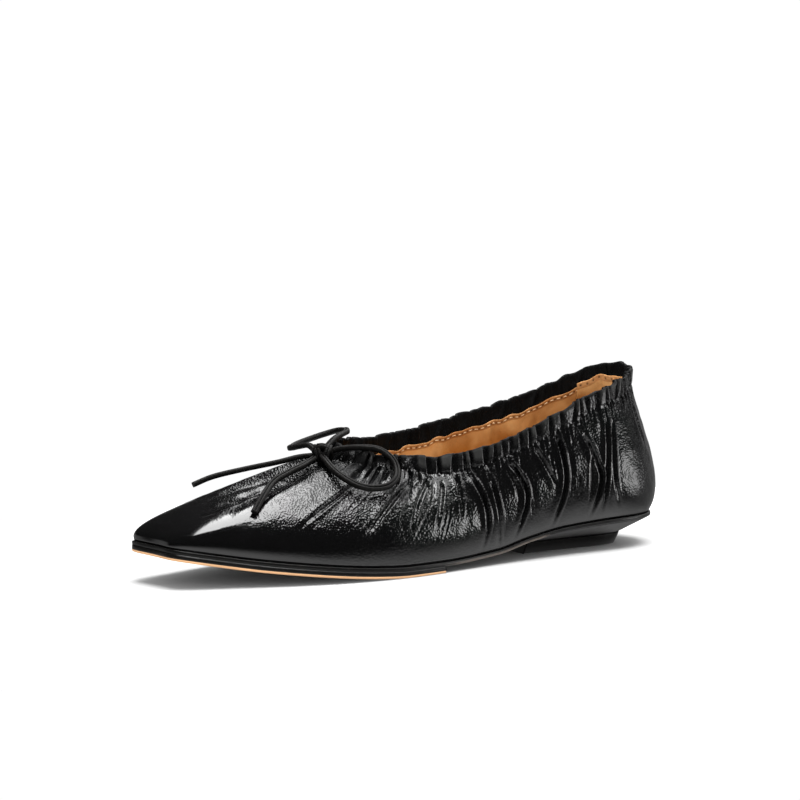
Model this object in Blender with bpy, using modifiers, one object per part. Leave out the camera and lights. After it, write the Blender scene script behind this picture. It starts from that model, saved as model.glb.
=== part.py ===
"""Ballet flat with a gathered collar and a small bow, left foot.

The toe points along -Y, the outer side of the foot lies at +X, and the shoe stands on z = 0.
Every piece is worked out from the last: a closed plan outline, a side profile of the sole and a
collar line, all tabled as shares of the driving dimensions.
"""

from collections import namedtuple

import bmesh
import bpy
import numpy as np

MM = 0.001

# Driving dimensions
SOLE_LENGTH = 246.5 * MM
BALL_WIDTH = 77.5 * MM
HEEL_END = 122.0 * MM
SEAT_HEIGHT = 14.4 * MM
THROAT_HEIGHT = 51.0 * MM
BACK_HEIGHT = 80.0 * MM
FRILL_HEIGHT = 7.5 * MM

# Thicknesses and clearances
UPPER_WALL = 1.8 * MM
INSOLE_THICKNESS = 2.3 * MM
OUTSOLE_THICKNESS = 1.7 * MM
FOREFOOT_THICKNESS = 2.5 * MM
LACE_RADIUS = 1.2 * MM
KNOT_RADIUS = 3.2 * MM
GAP = 0.3 * MM
FEATHER_INSET = 1.0 * MM
INSOLE_MARGIN = 0.7 * MM
INSOLE_INSET = FEATHER_INSET + UPPER_WALL + INSOLE_MARGIN
EDGE_ROUND = 0.4 * MM

# Moves the middle of the shoe's box, which the last is not drawn about, to the origin
BOX_SHIFT = (-0.25 * MM, 1.45 * MM, 0.0)

# The toe's front edge runs further forward on the inner side
TOE_SKEW = 0.17
SKEW_START = 0.80

# The half sole ends behind the ball, and the heel starts under the arch
HALF_SOLE_END = 0.535
HEEL_BREAST = 0.300
HEEL_FLARE = 14.0 * MM
LIFT_TAPER = 2.0 * MM
LIFT_HEIGHT = 5.3 * MM

# How many mesh steps lie between two sections, along a wall and up the frill
STEPS_PER_SECTION = 3
WALL_STEPS = 10
FRILL_STEPS = 2
KNOT_SIDES = 12
KNOT_STEPS = 8

# Half of the step that directions along the outline and the collar are read over
READ_STEP = 0.2 * MM

# Edges that turn by more than this are shaded sharp
SHARP_ANGLE = np.radians(40.0)

# Weight of the plan normal in the direction that the wall leaves the collar by
SIDE_BIAS = 20.0 * MM

# One row for each section of the last, from heel to toe. along is the share of the sole length
# from the heel, outer and inner are half widths and rim_half the collar's half width as shares of
# the ball width, and the rises of the collar go from 0 at the throat to 1 at the back. swell and
# climb place the wall's lower handle outwards and upwards from the feather line, spread and drop
# place its upper handle outwards and downwards from the collar, in mm, and lean tilts the frill
# inwards, in degrees.
Section = namedtuple(
    "Section",
    "name along outer inner rim_along rim_half outer_rise inner_rise swell climb spread drop lean",
)
SECTIONS = (
    Section("heel back", 0.000, 0.000, 0.000, 0.035, 0.000, 1.00, 1.00, 9.0, 13.0, 4.5, 20.0, 0.0),
    Section("heel round", 0.032, 0.250, 0.250, 0.053, 0.145, 0.96, 0.98, 9.0, 13.0, 4.5, 19.0, 0.0),
    Section("heel side", 0.089, 0.355, 0.355, 0.100, 0.250, 0.83, 0.81, 8.0, 13.0, 5.0, 17.0, 2.0),
    Section("seat", 0.187, 0.378, 0.369, 0.191, 0.330, 0.64, 0.51, 6.5, 14.0, 5.0, 15.0, 4.0),
    Section("shank", 0.300, 0.386, 0.340, 0.300, 0.356, 0.30, 0.30, 5.5, 14.0, 4.5, 12.0, 5.0),
    Section("waist", 0.422, 0.416, 0.330, 0.414, 0.353, -0.01, 0.11, 6.0, 15.0, 5.0, 11.0, 5.0),
    Section("joint", 0.544, 0.477, 0.403, 0.515, 0.320, -0.13, 0.02, 5.5, 16.0, 8.0, 8.0, 10.0),
    Section("ball", 0.657, 0.498, 0.488, 0.578, 0.268, -0.10, 0.03, 5.6, 16.0, 11.0, 3.6, 20.0),
    Section("tread", 0.763, 0.444, 0.474, 0.616, 0.200, -0.07, 0.04, 5.6, 13.1, 13.0, 3.5, 30.0),
    Section("toe side", 0.868, 0.336, 0.390, 0.634, 0.126, -0.03, 0.03, 6.2, 12.0, 22.4, 3.2, 36.0),
    Section("toe taper", 0.933, 0.262, 0.317, 0.641, 0.072, -0.01, 0.02, 5.9, 10.0, 27.0, 2.6, 39.0),
    Section("toe edge", 0.979, 0.205, 0.256, 0.6425, 0.041, 0.00, 0.01, 5.8, 10.4, 25.6, 6.0, 40.0),
    Section("toe end", 0.996, 0.165, 0.207, 0.643, 0.020, 0.00, 0.00, 6.1, 10.6, 24.2, 8.0, 40.0),
    Section("toe front", 1.000, 0.000, 0.000, 0.6435, 0.000, 0.00, 0.00, 6.1, 10.9, 25.3, 8.2, 40.0),
)

# Height of the sole's upper face along the shoe, from the heel to the toe, in mm
Rise = namedtuple("Rise", "name along height")
PROFILE = (
    Rise("heel end", 0.000, SEAT_HEIGHT / MM),
    Rise("heel seat", 0.100, SEAT_HEIGHT / MM),
    Rise("seat front", 0.252, 12.7),
    Rise("shank", 0.333, 9.9),
    Rise("waist", 0.414, 6.0),
    Rise("ground rear", 0.527, 4.5),
    Rise("ground front", 0.608, 4.5),
    Rise("ball front", 0.660, 5.1),
    Rise("tread", 0.840, 9.8),
    Rise("toe tip", 1.000, 16.5),
)

# The bow's lace, in mm: the knot's centre, and the points that each strand passes after it leaves
# the knot. A loop comes back to the knot, and a tail ends free.
KNOT_CENTRE = (-0.2, -47.6, 47.9)
Strand = namedtuple("Strand", "name returns points")
STRANDS = (
    Strand(
        "bow_loop_outer",
        True,
        (
            (5.3, -41.0, 50.4),
            (11.7, -35.5, 51.1),
            (16.8, -30.5, 50.6),
            (20.8, -27.0, 47.6),
            (24.8, -26.5, 43.6),
            (30.3, -30.5, 39.8),
            (32.3, -36.0, 37.3),
            (31.6, -42.4, 36.8),
            (28.7, -47.7, 38.1),
            (24.1, -51.0, 40.6),
            (17.6, -52.4, 43.6),
            (9.6, -51.0, 46.4),
        ),
    ),
    Strand(
        "bow_loop_inner",
        True,
        (
            (-9.7, -47.2, 50.8),
            (-15.2, -48.8, 50.0),
            (-20.2, -49.4, 48.9),
            (-24.2, -47.3, 49.0),
            (-27.2, -42.0, 49.9),
            (-28.7, -35.1, 51.3),
            (-28.2, -28.4, 53.0),
            (-25.7, -23.4, 54.5),
            (-21.2, -22.0, 55.1),
            (-16.2, -24.7, 54.7),
            (-11.2, -30.6, 54.2),
            (-6.7, -36.9, 53.0),
        ),
    ),
    Strand(
        "bow_tail_outer",
        False,
        (
            (3.3, -55.0, 45.6),
            (6.6, -61.0, 44.4),
            (8.3, -67.6, 42.6),
            (11.0, -76.3, 39.8),
            (16.6, -84.2, 35.5),
            (21.2, -91.4, 29.6),
        ),
    ),
    Strand(
        "bow_tail_inner",
        False,
        (
            (-3.7, -56.2, 47.0),
            (-4.7, -65.0, 45.4),
            (-5.7, -79.6, 43.5),
            (-6.7, -94.0, 41.2),
            (-7.7, -102.9, 38.3),
        ),
    ),
)

# Mesh step along a lace, in lace diameters, and how finely its smooth curve is read for it
LACE_STEP = 2.2
LACE_READINGS = 20


def clear_scene():
    """Remove every object of the scene."""
    for item in list(bpy.data.objects):
        bpy.data.objects.remove(item, do_unlink=True)


def smoothstep(low, high, values):
    """Rise smoothly from 0 at low to 1 at high."""
    share = np.clip((values - low) / (high - low), 0.0, 1.0)
    return share * share * (3.0 - 2.0 * share)


def unit(vectors):
    """Scale the last axis to length one."""
    return vectors / np.linalg.norm(vectors, axis=-1, keepdims=True)


class ClosedSpline:
    """Cubic spline through rows of values around a closed loop, smooth to its second derivative."""

    def __init__(self, knots, values, period):
        self.knots = np.append(knots, period)
        self.values = np.vstack([values, values[:1]])
        self.period = period
        gaps = np.diff(self.knots)
        count = len(knots)
        system = np.zeros((count, count))
        slopes = np.diff(self.values, axis=0) / gaps[:, None]
        for row in range(count):
            before = gaps[row - 1]
            after = gaps[row]
            system[row, row - 1] += before
            system[row, row] += 2.0 * (before + after)
            system[row, (row + 1) % count] += after
        bends = np.linalg.solve(system, 6.0 * (slopes - np.roll(slopes, 1, axis=0)))
        self.bends = np.vstack([bends, bends[:1]])

    def __call__(self, places):
        places = np.mod(places, self.period)
        piece = np.clip(np.searchsorted(self.knots, places, side="right") - 1, 0, len(self.knots) - 2)
        span = self.knots[piece + 1] - self.knots[piece]
        right = ((places - self.knots[piece]) / span)[..., None]
        left = 1.0 - right
        curve = left * self.values[piece] + right * self.values[piece + 1]
        bend = (left**3 - left) * self.bends[piece] + (right**3 - right) * self.bends[piece + 1]
        return curve + bend * (span**2)[..., None] / 6.0


def sole_top(y):
    """Height of the sole's upper face at y: a monotone curve through PROFILE, flat where it is."""
    along = (HEEL_END - y) / SOLE_LENGTH
    places = np.array([row.along for row in PROFILE])
    heights = np.array([row.height for row in PROFILE]) * MM
    gaps = np.diff(places)
    steps = np.diff(heights) / gaps
    slopes = np.zeros_like(places)
    for row in range(1, len(places) - 1):
        if steps[row - 1] * steps[row] > 0.0:
            slopes[row] = 2.0 / (1.0 / steps[row - 1] + 1.0 / steps[row])
    slopes[-1] = steps[-1]
    piece = np.clip(np.searchsorted(places, along, side="right") - 1, 0, len(gaps) - 1)
    span = gaps[piece]
    share = (along - places[piece]) / span
    rise = 3.0 * share**2 - 2.0 * share**3
    leave = share**3 - 2.0 * share**2 + share
    arrive = share**3 - share**2
    height = heights[piece] + rise * (heights[piece + 1] - heights[piece])
    return height + span * (leave * slopes[piece] + arrive * slopes[piece + 1])


class Last:
    """The shoe's form: outline, feather line, collar and wall, all by the place around the outline."""

    def __init__(self):
        outer = np.array([self.row_values(row, row.outer, row.outer_rise, 1.0) for row in SECTIONS])
        inner = np.array([self.row_values(row, row.inner, row.inner_rise, -1.0) for row in SECTIONS])
        steps = []
        for side in (outer, inner):
            steps.append(np.linalg.norm(np.diff(side[:, :2], axis=0), axis=1))
        self.stations = np.append(0.0, np.cumsum((steps[0] + steps[1]) / 2.0))
        self.half = self.stations[-1]
        knots = np.append(self.stations, 2.0 * self.half - self.stations[-2:0:-1])
        values = np.vstack([outer, inner[-2:0:-1]])
        self.spline = ClosedSpline(knots, values, 2.0 * self.half)

    def row_values(self, row, half_width, rim_rise, side):
        """One section's columns on one side of the shoe, in metres and radians."""
        return [
            side * half_width * BALL_WIDTH,
            HEEL_END - row.along * SOLE_LENGTH,
            side * row.rim_half * BALL_WIDTH,
            HEEL_END - row.rim_along * SOLE_LENGTH,
            THROAT_HEIGHT + rim_rise * (BACK_HEIGHT - THROAT_HEIGHT),
            row.swell * MM,
            row.climb * MM,
            row.spread * MM,
            row.drop * MM,
            np.radians(row.lean),
        ]

    def around(self, start=0.0, end=None):
        """Places around the shoe between two stations, outer side first and inner side back."""
        shares = (np.arange(STEPS_PER_SECTION) + 0.5) / STEPS_PER_SECTION
        gaps = np.diff(self.stations)
        places = (self.stations[:-1, None] + gaps[:, None] * shares).ravel()
        if end is None:
            end = self.half
        inside = places[(places > start) & (places < end)]
        if start > 0.0:
            inside = np.append(start, inside)
        if end < self.half:
            inside = np.append(inside, end)
        return np.append(inside, 2.0 * self.half - inside[::-1])

    def station_at(self, along):
        """Place on the outer side where the share along the sole is reached."""
        return float(np.interp(along, [row.along for row in SECTIONS], self.stations))

    def outline(self, places):
        """Plan of the sole's edge."""
        plan = self.spline(places)[..., :2]
        along = (HEEL_END - plan[..., 1]) / SOLE_LENGTH
        plan[..., 1] += TOE_SKEW * smoothstep(SKEW_START, 1.0, along) * plan[..., 0]
        return plan

    def outward(self, places):
        """Plan normal of the sole's edge."""
        run = self.outline(places + READ_STEP) - self.outline(places - READ_STEP)
        return unit(np.stack([-run[..., 1], run[..., 0]], axis=-1))

    def inset(self, places, depth):
        """Plan of the sole's edge, moved inwards."""
        return self.outline(places) - depth * self.outward(places)

    def collar(self, places):
        """Free edge of the frill, and the gathered line under it."""
        values = self.spline(places)
        edge = values[..., 2:5]
        ahead = self.spline(places + READ_STEP)[..., 2:4]
        run = ahead - self.spline(places - READ_STEP)[..., 2:4]
        inwards = unit(np.stack([run[..., 1], -run[..., 0]], axis=-1))
        lean = values[..., 9:10]
        direction = np.concatenate([inwards * np.sin(lean), np.cos(lean)], axis=-1)
        return edge, edge - FRILL_HEIGHT * direction

    def wall(self, places, heights):
        """Outside of the upper: heights run from 0 at the feather line to 1 at the gathered line,
        then to 2 at the frill's free edge."""
        values = self.spline(places)
        swell, climb, spread, drop = (values[..., column : column + 1] for column in range(5, 9))
        normal = self.outward(places)
        foot_plan = self.inset(places, FEATHER_INSET)
        foot = np.concatenate([foot_plan, sole_top(foot_plan[..., 1:]) + GAP], axis=-1)
        edge, neck = self.collar(places)
        away = unit(foot[..., :2] - neck[..., :2] + SIDE_BIAS * normal)
        low = foot + np.concatenate([normal * swell, climb], axis=-1)
        high = neck + np.concatenate([away * spread, -drop], axis=-1)
        share = np.clip(heights, 0.0, 1.0)[..., None]
        rest = 1.0 - share
        body = rest**3 * foot + 3.0 * rest**2 * share * low + 3.0 * rest * share**2 * high + share**3 * neck
        frill = np.clip(heights - 1.0, 0.0, 1.0)[..., None]
        return body + frill * (edge - neck)


def make_material(name, colour, roughness):
    """Principled material with one colour."""
    material = bpy.data.materials.new(name)
    material.use_nodes = True
    shader = material.node_tree.nodes["Principled BSDF"]
    shader.inputs["Base Color"].default_value = (*colour, 1.0)
    shader.inputs["Roughness"].default_value = roughness
    return material


def add_object(name, data, material, collection, carrier):
    """Put new object data in the shoe's collection, under its carrier."""
    data.materials.append(material)
    item = bpy.data.objects.new(name, data)
    item.parent = carrier
    collection.objects.link(item)
    return item


def skin_rings(mesh, rings, capped):
    """Quads between successive closed rings of points; a cap ladders across each end ring."""
    form = bmesh.new()
    loops = [[form.verts.new(point) for point in ring] for ring in rings]
    count = len(loops[0])
    for lower, upper in zip(loops, loops[1:]):
        for here in range(count):
            there = (here + 1) % count
            form.faces.new((lower[here], upper[here], upper[there], lower[there]))
    if capped:
        for rung in range(count // 2 - 1):
            far = count - 1 - rung
            for loop in (loops[0], loops[-1]):
                form.faces.new((loop[rung], loop[rung + 1], loop[far - 1], loop[far]))
        bmesh.ops.recalc_face_normals(form, faces=form.faces)
    form.to_mesh(mesh)
    form.free()
    mesh.shade_smooth()
    mesh.set_sharp_from_angle(angle=SHARP_ANGLE)


def slab_rings(last, places, depth, top, thickness):
    """Rings of a plate with rounded edges under the height function top, inset from the sole's edge."""
    rings = []
    levels = ((EDGE_ROUND, 0.0), (0.0, EDGE_ROUND), (0.0, thickness - EDGE_ROUND), (EDGE_ROUND, thickness))
    for inset, level in levels:
        plan = last.inset(places, depth + inset)
        heights = top(plan[:, 1:]) - thickness + level
        rings.append(np.concatenate([plan, heights], axis=1))
    return rings


def make_upper(last):
    """Hollow upper, open at the collar and underneath: the wall's outside, thickened inwards."""
    places = last.around()
    heights = np.append(np.linspace(0.0, 1.0, WALL_STEPS + 1), np.linspace(1.0, 2.0, FRILL_STEPS + 1)[1:])
    rings = [last.wall(places, np.full(len(places), height)) for height in heights]
    mesh = bpy.data.meshes.new("upper")
    skin_rings(mesh, rings, capped=False)
    return mesh


def make_slab(name, last, places, depth, top, thickness):
    """Plate of the sole or the insole."""
    mesh = bpy.data.meshes.new(name)
    skin_rings(mesh, slab_rings(last, places, depth, top, thickness), capped=True)
    return mesh


def make_block(name, last, places, lower_inset, lower, upper_inset, upper):
    """Heel block between two insets of the sole's edge and two height functions."""
    rings = []
    for inset, heights in ((lower_inset, lower), (upper_inset, upper)):
        plan = last.inset(places, inset)
        rings.append(np.concatenate([plan, heights(plan[:, 1:])], axis=1))
    mesh = bpy.data.meshes.new(name)
    skin_rings(mesh, rings, capped=True)
    return mesh


def smooth_route(points):
    """Points at even steps along a smooth curve through a route's own points."""
    ends = np.vstack([2.0 * points[0] - points[1], points, 2.0 * points[-1] - points[-2]])
    before, start, end, after = ends[:-3], ends[1:-2], ends[2:-1], ends[3:]
    shares = np.linspace(0.0, 1.0, LACE_READINGS, endpoint=False)[:, None, None]
    curve = 0.5 * (
        2.0 * start
        + (end - before) * shares
        + (2.0 * before - 5.0 * start + 4.0 * end - after) * shares**2
        + (3.0 * start - before - 3.0 * end + after) * shares**3
    )
    dense = np.vstack([curve.transpose(1, 0, 2).reshape(-1, 3), points[-1:]])
    lengths = np.append(0.0, np.cumsum(np.linalg.norm(np.diff(dense, axis=0), axis=1)))
    count = max(2, round(lengths[-1] / (LACE_STEP * 2.0 * LACE_RADIUS)))
    stops = np.linspace(0.0, lengths[-1], count + 1)
    return np.stack([np.interp(stops, lengths, dense[:, axis]) for axis in range(3)], axis=1)


def make_strand(strand):
    """Round lace from the knot along its route, ending free or back at the knot."""
    knot = np.array(KNOT_CENTRE) * MM
    points = np.array(strand.points) * MM
    reach = KNOT_RADIUS + GAP
    route = np.vstack([knot + reach * unit(points[0] - knot), points])
    if strand.returns:
        route = np.vstack([route, knot + reach * unit(points[-1] - knot)])
    curve = bpy.data.curves.new(strand.name, "CURVE")
    curve.dimensions = "3D"
    curve.bevel_depth = LACE_RADIUS
    curve.bevel_resolution = 2
    curve.use_fill_caps = True
    spline = curve.splines.new("POLY")
    places = smooth_route(route)
    spline.points.add(len(places) - 1)
    for point, place in zip(spline.points, places):
        point.co = (*place, 1.0)
    return curve


def make_knot():
    """Round knot at the middle of the bow."""
    mesh = bpy.data.meshes.new("bow_knot")
    form = bmesh.new()
    bmesh.ops.create_uvsphere(form, u_segments=KNOT_SIDES, v_segments=KNOT_STEPS, radius=KNOT_RADIUS)
    form.to_mesh(mesh)
    form.free()
    mesh.shade_smooth()
    return mesh


def main():
    clear_scene()
    collection = bpy.data.collections.new("ballet_flat")
    bpy.context.scene.collection.children.link(collection)
    carrier = bpy.data.objects.new("shoe", None)
    carrier.location = BOX_SHIFT
    collection.objects.link(carrier)

    patent = make_material("patent_leather", (0.012, 0.012, 0.013), 0.18)
    tan = make_material("tan_leather", (0.60, 0.28, 0.08), 0.50)
    edge = make_material("black_edge", (0.010, 0.010, 0.010), 0.25)
    rubber = make_material("tan_sole", (0.62, 0.38, 0.20), 0.60)

    last = Last()
    whole = last.around()
    front = last.around(start=last.station_at(HALF_SOLE_END))
    rear = last.around(end=last.station_at(HEEL_BREAST))

    def outsole_bottom(y):
        return sole_top(y) - OUTSOLE_THICKNESS - GAP

    def insole_top(y):
        return sole_top(y) + GAP + INSOLE_THICKNESS

    upper = add_object("upper", make_upper(last), patent, collection, carrier)
    wall = upper.modifiers.new("wall", "SOLIDIFY")
    wall.thickness = UPPER_WALL
    wall.offset = -1.0
    wall.use_even_offset = True

    slabs = (
        ("insole", whole, INSOLE_INSET, insole_top, INSOLE_THICKNESS, tan),
        ("outsole", whole, 0.0, sole_top, OUTSOLE_THICKNESS, edge),
        ("forefoot_sole", front, 0.0, outsole_bottom, FOREFOOT_THICKNESS, rubber),
    )
    for name, places, depth, top, thickness, material in slabs:
        mesh = make_slab(name, last, places, depth, top, thickness)
        add_object(name, mesh, material, collection, carrier)

    blocks = (
        ("heel", HEEL_FLARE, lambda y: np.full_like(y, LIFT_HEIGHT), GAP, outsole_bottom),
        (
            "top_lift",
            HEEL_FLARE + LIFT_TAPER,
            np.zeros_like,
            HEEL_FLARE,
            lambda y: np.full_like(y, LIFT_HEIGHT - GAP),
        ),
    )
    for name, lower_inset, lower, upper_inset, upper_height in blocks:
        mesh = make_block(name, last, rear, lower_inset, lower, upper_inset, upper_height)
        add_object(name, mesh, edge, collection, carrier)

    knot = add_object("bow_knot", make_knot(), patent, collection, carrier)
    knot.location = np.array(KNOT_CENTRE) * MM
    for strand in STRANDS:
        add_object(strand.name, make_strand(strand), patent, collection, carrier)


main()
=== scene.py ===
"""Looks of a gathered ballet flat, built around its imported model.

The file is laid out as an add-on: the sizes and colours that a user would change sit in property
groups, each piece or group of like pieces has an operator, and main() runs the operators in order.
The toe points along -Y, the outer side of the foot lies at +X, and the shoe stands on z = 0.
"""

from collections import namedtuple
from contextlib import contextmanager
from functools import lru_cache

import bpy
import numpy as np
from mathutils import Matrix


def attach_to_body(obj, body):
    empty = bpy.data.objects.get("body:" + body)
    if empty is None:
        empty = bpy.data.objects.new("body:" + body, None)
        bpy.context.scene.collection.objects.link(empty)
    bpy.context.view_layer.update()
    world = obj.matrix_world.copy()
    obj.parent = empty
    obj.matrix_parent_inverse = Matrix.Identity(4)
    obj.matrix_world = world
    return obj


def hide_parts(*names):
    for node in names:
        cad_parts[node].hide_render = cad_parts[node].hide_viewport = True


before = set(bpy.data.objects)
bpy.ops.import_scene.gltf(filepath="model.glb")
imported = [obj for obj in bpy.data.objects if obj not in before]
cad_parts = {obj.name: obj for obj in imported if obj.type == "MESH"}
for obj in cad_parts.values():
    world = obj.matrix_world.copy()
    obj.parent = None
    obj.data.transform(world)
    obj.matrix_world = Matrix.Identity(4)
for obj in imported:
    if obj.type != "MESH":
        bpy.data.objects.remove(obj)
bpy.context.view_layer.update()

bl_info = {
    "name": "Gathered ballet flat",
    "version": (1, 0, 0),
    "blender": (4, 5, 0),
    "location": "View3D > Sidebar > Shoe",
    "description": "Builds a gathered patent ballet flat with a bow around its packed frame",
    "category": "Add Mesh",
}

MM = 0.001
TURN = 2.0 * np.pi
BODY = "root"

# The last's driving dimensions
SOLE_LENGTH = 246.5 * MM
BALL_WIDTH = 77.5 * MM
HEEL_END = 122.0 * MM
SEAT_HEIGHT = 14.4 * MM
THROAT_HEIGHT = 51.0 * MM
BACK_HEIGHT = 80.0 * MM
FRILL_HEIGHT = 7.5 * MM
GAP = 0.3 * MM
FEATHER_INSET = 1.0 * MM
TOE_SKEW = 0.17
SKEW_START = 0.80
HALF_SOLE_END = 0.535
HEEL_BREAST = 0.300
HEEL_FLARE = 14.0 * MM
LIFT_TAPER = 2.0 * MM
LIFT_HEIGHT = 5.3 * MM
SIDE_BIAS = 20.0 * MM
READ_STEP = 0.2 * MM

# Moves the last, which is not drawn about the middle of the shoe's box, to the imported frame
SHIFT = np.array((-0.25, 1.45, 0.0)) * MM

# One row for each section of the last, from heel to toe. along is the share of the sole length
# from the heel, outer and inner are half widths and rim_half the collar's half width as shares of
# the ball width, and the rises of the collar go from 0 at the throat to 1 at the back. swell and
# climb place the wall's lower handle outwards and upwards from the feather line, spread and drop
# place its upper handle outwards and downwards from the collar, in mm, and lean tilts the frill
# inwards, in degrees.
Section = namedtuple(
    "Section",
    "name along outer inner rim_along rim_half outer_rise inner_rise swell climb spread drop lean",
)
SECTIONS = (
    Section("heel back", 0.000, 0.000, 0.000, 0.035, 0.000, 1.00, 1.00, 9.0, 13.0, 4.5, 20.0, 0.0),
    Section("heel round", 0.032, 0.250, 0.250, 0.053, 0.145, 0.96, 0.98, 9.0, 13.0, 4.5, 19.0, 0.0),
    Section("heel side", 0.089, 0.355, 0.355, 0.100, 0.250, 0.83, 0.81, 8.0, 13.0, 5.0, 17.0, 2.0),
    Section("seat", 0.187, 0.378, 0.369, 0.191, 0.330, 0.64, 0.51, 6.5, 14.0, 5.0, 15.0, 4.0),
    Section("shank", 0.300, 0.386, 0.340, 0.300, 0.356, 0.30, 0.30, 5.5, 14.0, 4.5, 12.0, 5.0),
    Section("waist", 0.422, 0.416, 0.330, 0.414, 0.353, -0.01, 0.11, 6.0, 15.0, 5.0, 11.0, 5.0),
    Section("joint", 0.544, 0.477, 0.403, 0.515, 0.320, -0.13, 0.02, 5.5, 16.0, 8.0, 8.0, 10.0),
    Section("ball", 0.657, 0.498, 0.488, 0.578, 0.268, -0.10, 0.03, 5.6, 16.0, 11.0, 3.6, 20.0),
    Section("tread", 0.763, 0.444, 0.474, 0.616, 0.200, -0.07, 0.04, 5.6, 13.1, 13.0, 3.5, 30.0),
    Section("toe side", 0.868, 0.336, 0.390, 0.634, 0.126, -0.03, 0.03, 6.2, 12.0, 22.4, 3.2, 36.0),
    Section("toe taper", 0.933, 0.262, 0.317, 0.641, 0.072, -0.01, 0.02, 5.9, 10.0, 27.0, 2.6, 39.0),
    Section("toe edge", 0.979, 0.205, 0.256, 0.6425, 0.041, 0.00, 0.01, 5.8, 10.4, 25.6, 6.0, 40.0),
    Section("toe end", 0.996, 0.165, 0.207, 0.643, 0.020, 0.00, 0.00, 6.1, 10.6, 24.2, 8.0, 40.0),
    Section("toe front", 1.000, 0.000, 0.000, 0.6435, 0.000, 0.00, 0.00, 6.1, 10.9, 25.3, 8.2, 40.0),
)

# Height of the sole's upper face along the shoe, from the heel to the toe, in mm
Rise = namedtuple("Rise", "name along height")
PROFILE = (
    Rise("heel end", 0.000, SEAT_HEIGHT / MM),
    Rise("heel seat", 0.100, SEAT_HEIGHT / MM),
    Rise("seat front", 0.252, 12.7),
    Rise("shank", 0.333, 9.9),
    Rise("waist", 0.414, 6.0),
    Rise("ground rear", 0.527, 4.5),
    Rise("ground front", 0.608, 4.5),
    Rise("ball front", 0.660, 5.1),
    Rise("tread", 0.840, 9.8),
    Rise("toe tip", 1.000, 16.5),
)

# The bow's lace, in mm: the knot's centre, and the points that each strand passes after it leaves
# the knot. A loop comes back to the knot, and a tail ends free.
KNOT_CENTRE = (-0.2, -47.6, 47.9)
KNOT_REACH = 3.5 * MM
Strand = namedtuple("Strand", "name returns points")
STRANDS = (
    Strand("bow_loop_outer", True, (
        (5.3, -41.0, 50.4), (11.7, -35.5, 51.1), (16.8, -30.5, 50.6), (20.8, -27.0, 47.6),
        (24.8, -26.5, 43.6), (30.3, -30.5, 39.8), (32.3, -36.0, 37.3), (31.6, -42.4, 36.8),
        (28.7, -47.7, 38.1), (24.1, -51.0, 40.6), (17.6, -52.4, 43.6), (9.6, -51.0, 46.4),
    )),
    Strand("bow_loop_inner", True, (
        (-9.7, -47.2, 50.8), (-15.2, -48.8, 50.0), (-20.2, -49.4, 48.9), (-24.2, -47.3, 49.0),
        (-27.2, -42.0, 49.9), (-28.7, -35.1, 51.3), (-28.2, -28.4, 53.0), (-25.7, -23.4, 54.5),
        (-21.2, -22.0, 55.1), (-16.2, -24.7, 54.7), (-11.2, -30.6, 54.2), (-6.7, -36.9, 53.0),
    )),
    Strand("bow_tail_outer", False, (
        (3.3, -55.0, 45.6), (6.6, -61.0, 44.4), (8.3, -67.6, 42.6), (11.0, -76.3, 39.8),
        (16.6, -84.2, 35.5), (21.2, -91.4, 29.6),
    )),
    Strand("bow_tail_inner", False, (
        (-3.7, -56.2, 47.0), (-4.7, -65.0, 45.4), (-5.7, -79.6, 43.5), (-6.7, -94.0, 41.2),
        (-7.7, -102.9, 38.3),
    )),
)

# Mesh of the upper: columns round the shoe, rows up the wall and up the frill, and how near two
# points merge
COLUMNS = 1300
BODY_ROWS = 44
FRILL_ROWS = 12
MERGE = 0.001 * MM

# Points to each span of a smooth route
ROUTE_POINTS = 60

# The main creases: points by the share of the way round one side, from the heel to
# the toe, and the share of the wall's height, then depth and width in mm. A crease is a trough
# between two rolled lips.
Crease = namedtuple("Crease", "name points depth width")
CREASES = (
    Crease("vamp", ((0.758, 0.80), (0.770, 0.62), (0.779, 0.51), (0.792, 0.36)), 1.3, 0.9),
    Crease("ball front", ((0.636, 0.72), (0.662, 0.47), (0.686, 0.22)), 1.5, 0.9),
    Crease("ball", ((0.588, 0.95), (0.645, 0.67), (0.674, 0.40)), 1.3, 0.9),
    Crease("joint front", ((0.562, 1.00), (0.594, 0.66), (0.606, 0.28)), 1.6, 0.9),
    Crease("joint", ((0.538, 0.90), (0.556, 0.30)), 1.4, 0.9),
    Crease("waist front", ((0.503, 0.96), (0.504, 0.40)), 1.3, 0.9),
    Crease("waist", ((0.474, 0.94), (0.448, 0.39), (0.447, 0.02)), 1.8, 1.0),
    Crease("waist rear", ((0.437, 0.82), (0.412, 0.02)), 1.4, 0.9),
    Crease("shank front", ((0.397, 0.96), (0.368, 0.50), (0.384, 0.04)), 2.2, 1.0),
    Crease("shank", ((0.344, 0.96), (0.306, 0.42)), 1.4, 0.9),
    Crease("seat front", ((0.299, 1.00), (0.293, 0.73), (0.291, 0.43), (0.311, 0.02)), 2.2, 1.0),
    Crease("seat", ((0.248, 0.86), (0.225, 0.56), (0.219, 0.37), (0.236, 0.04)), 2.0, 1.0),
    Crease("heel side", ((0.190, 0.92), (0.206, 0.43), (0.211, 0.06)), 1.6, 0.9),
    Crease("heel round", ((0.178, 0.88), (0.190, 0.42), (0.177, 0.10)), 1.2, 0.9),
    Crease("heel back", ((0.105, 0.98), (0.103, 0.52)), 0.5, 1.2),
)

# Shares of its length over which a crease fades in and out
CREASE_FADE = (0.16, 0.42)

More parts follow.
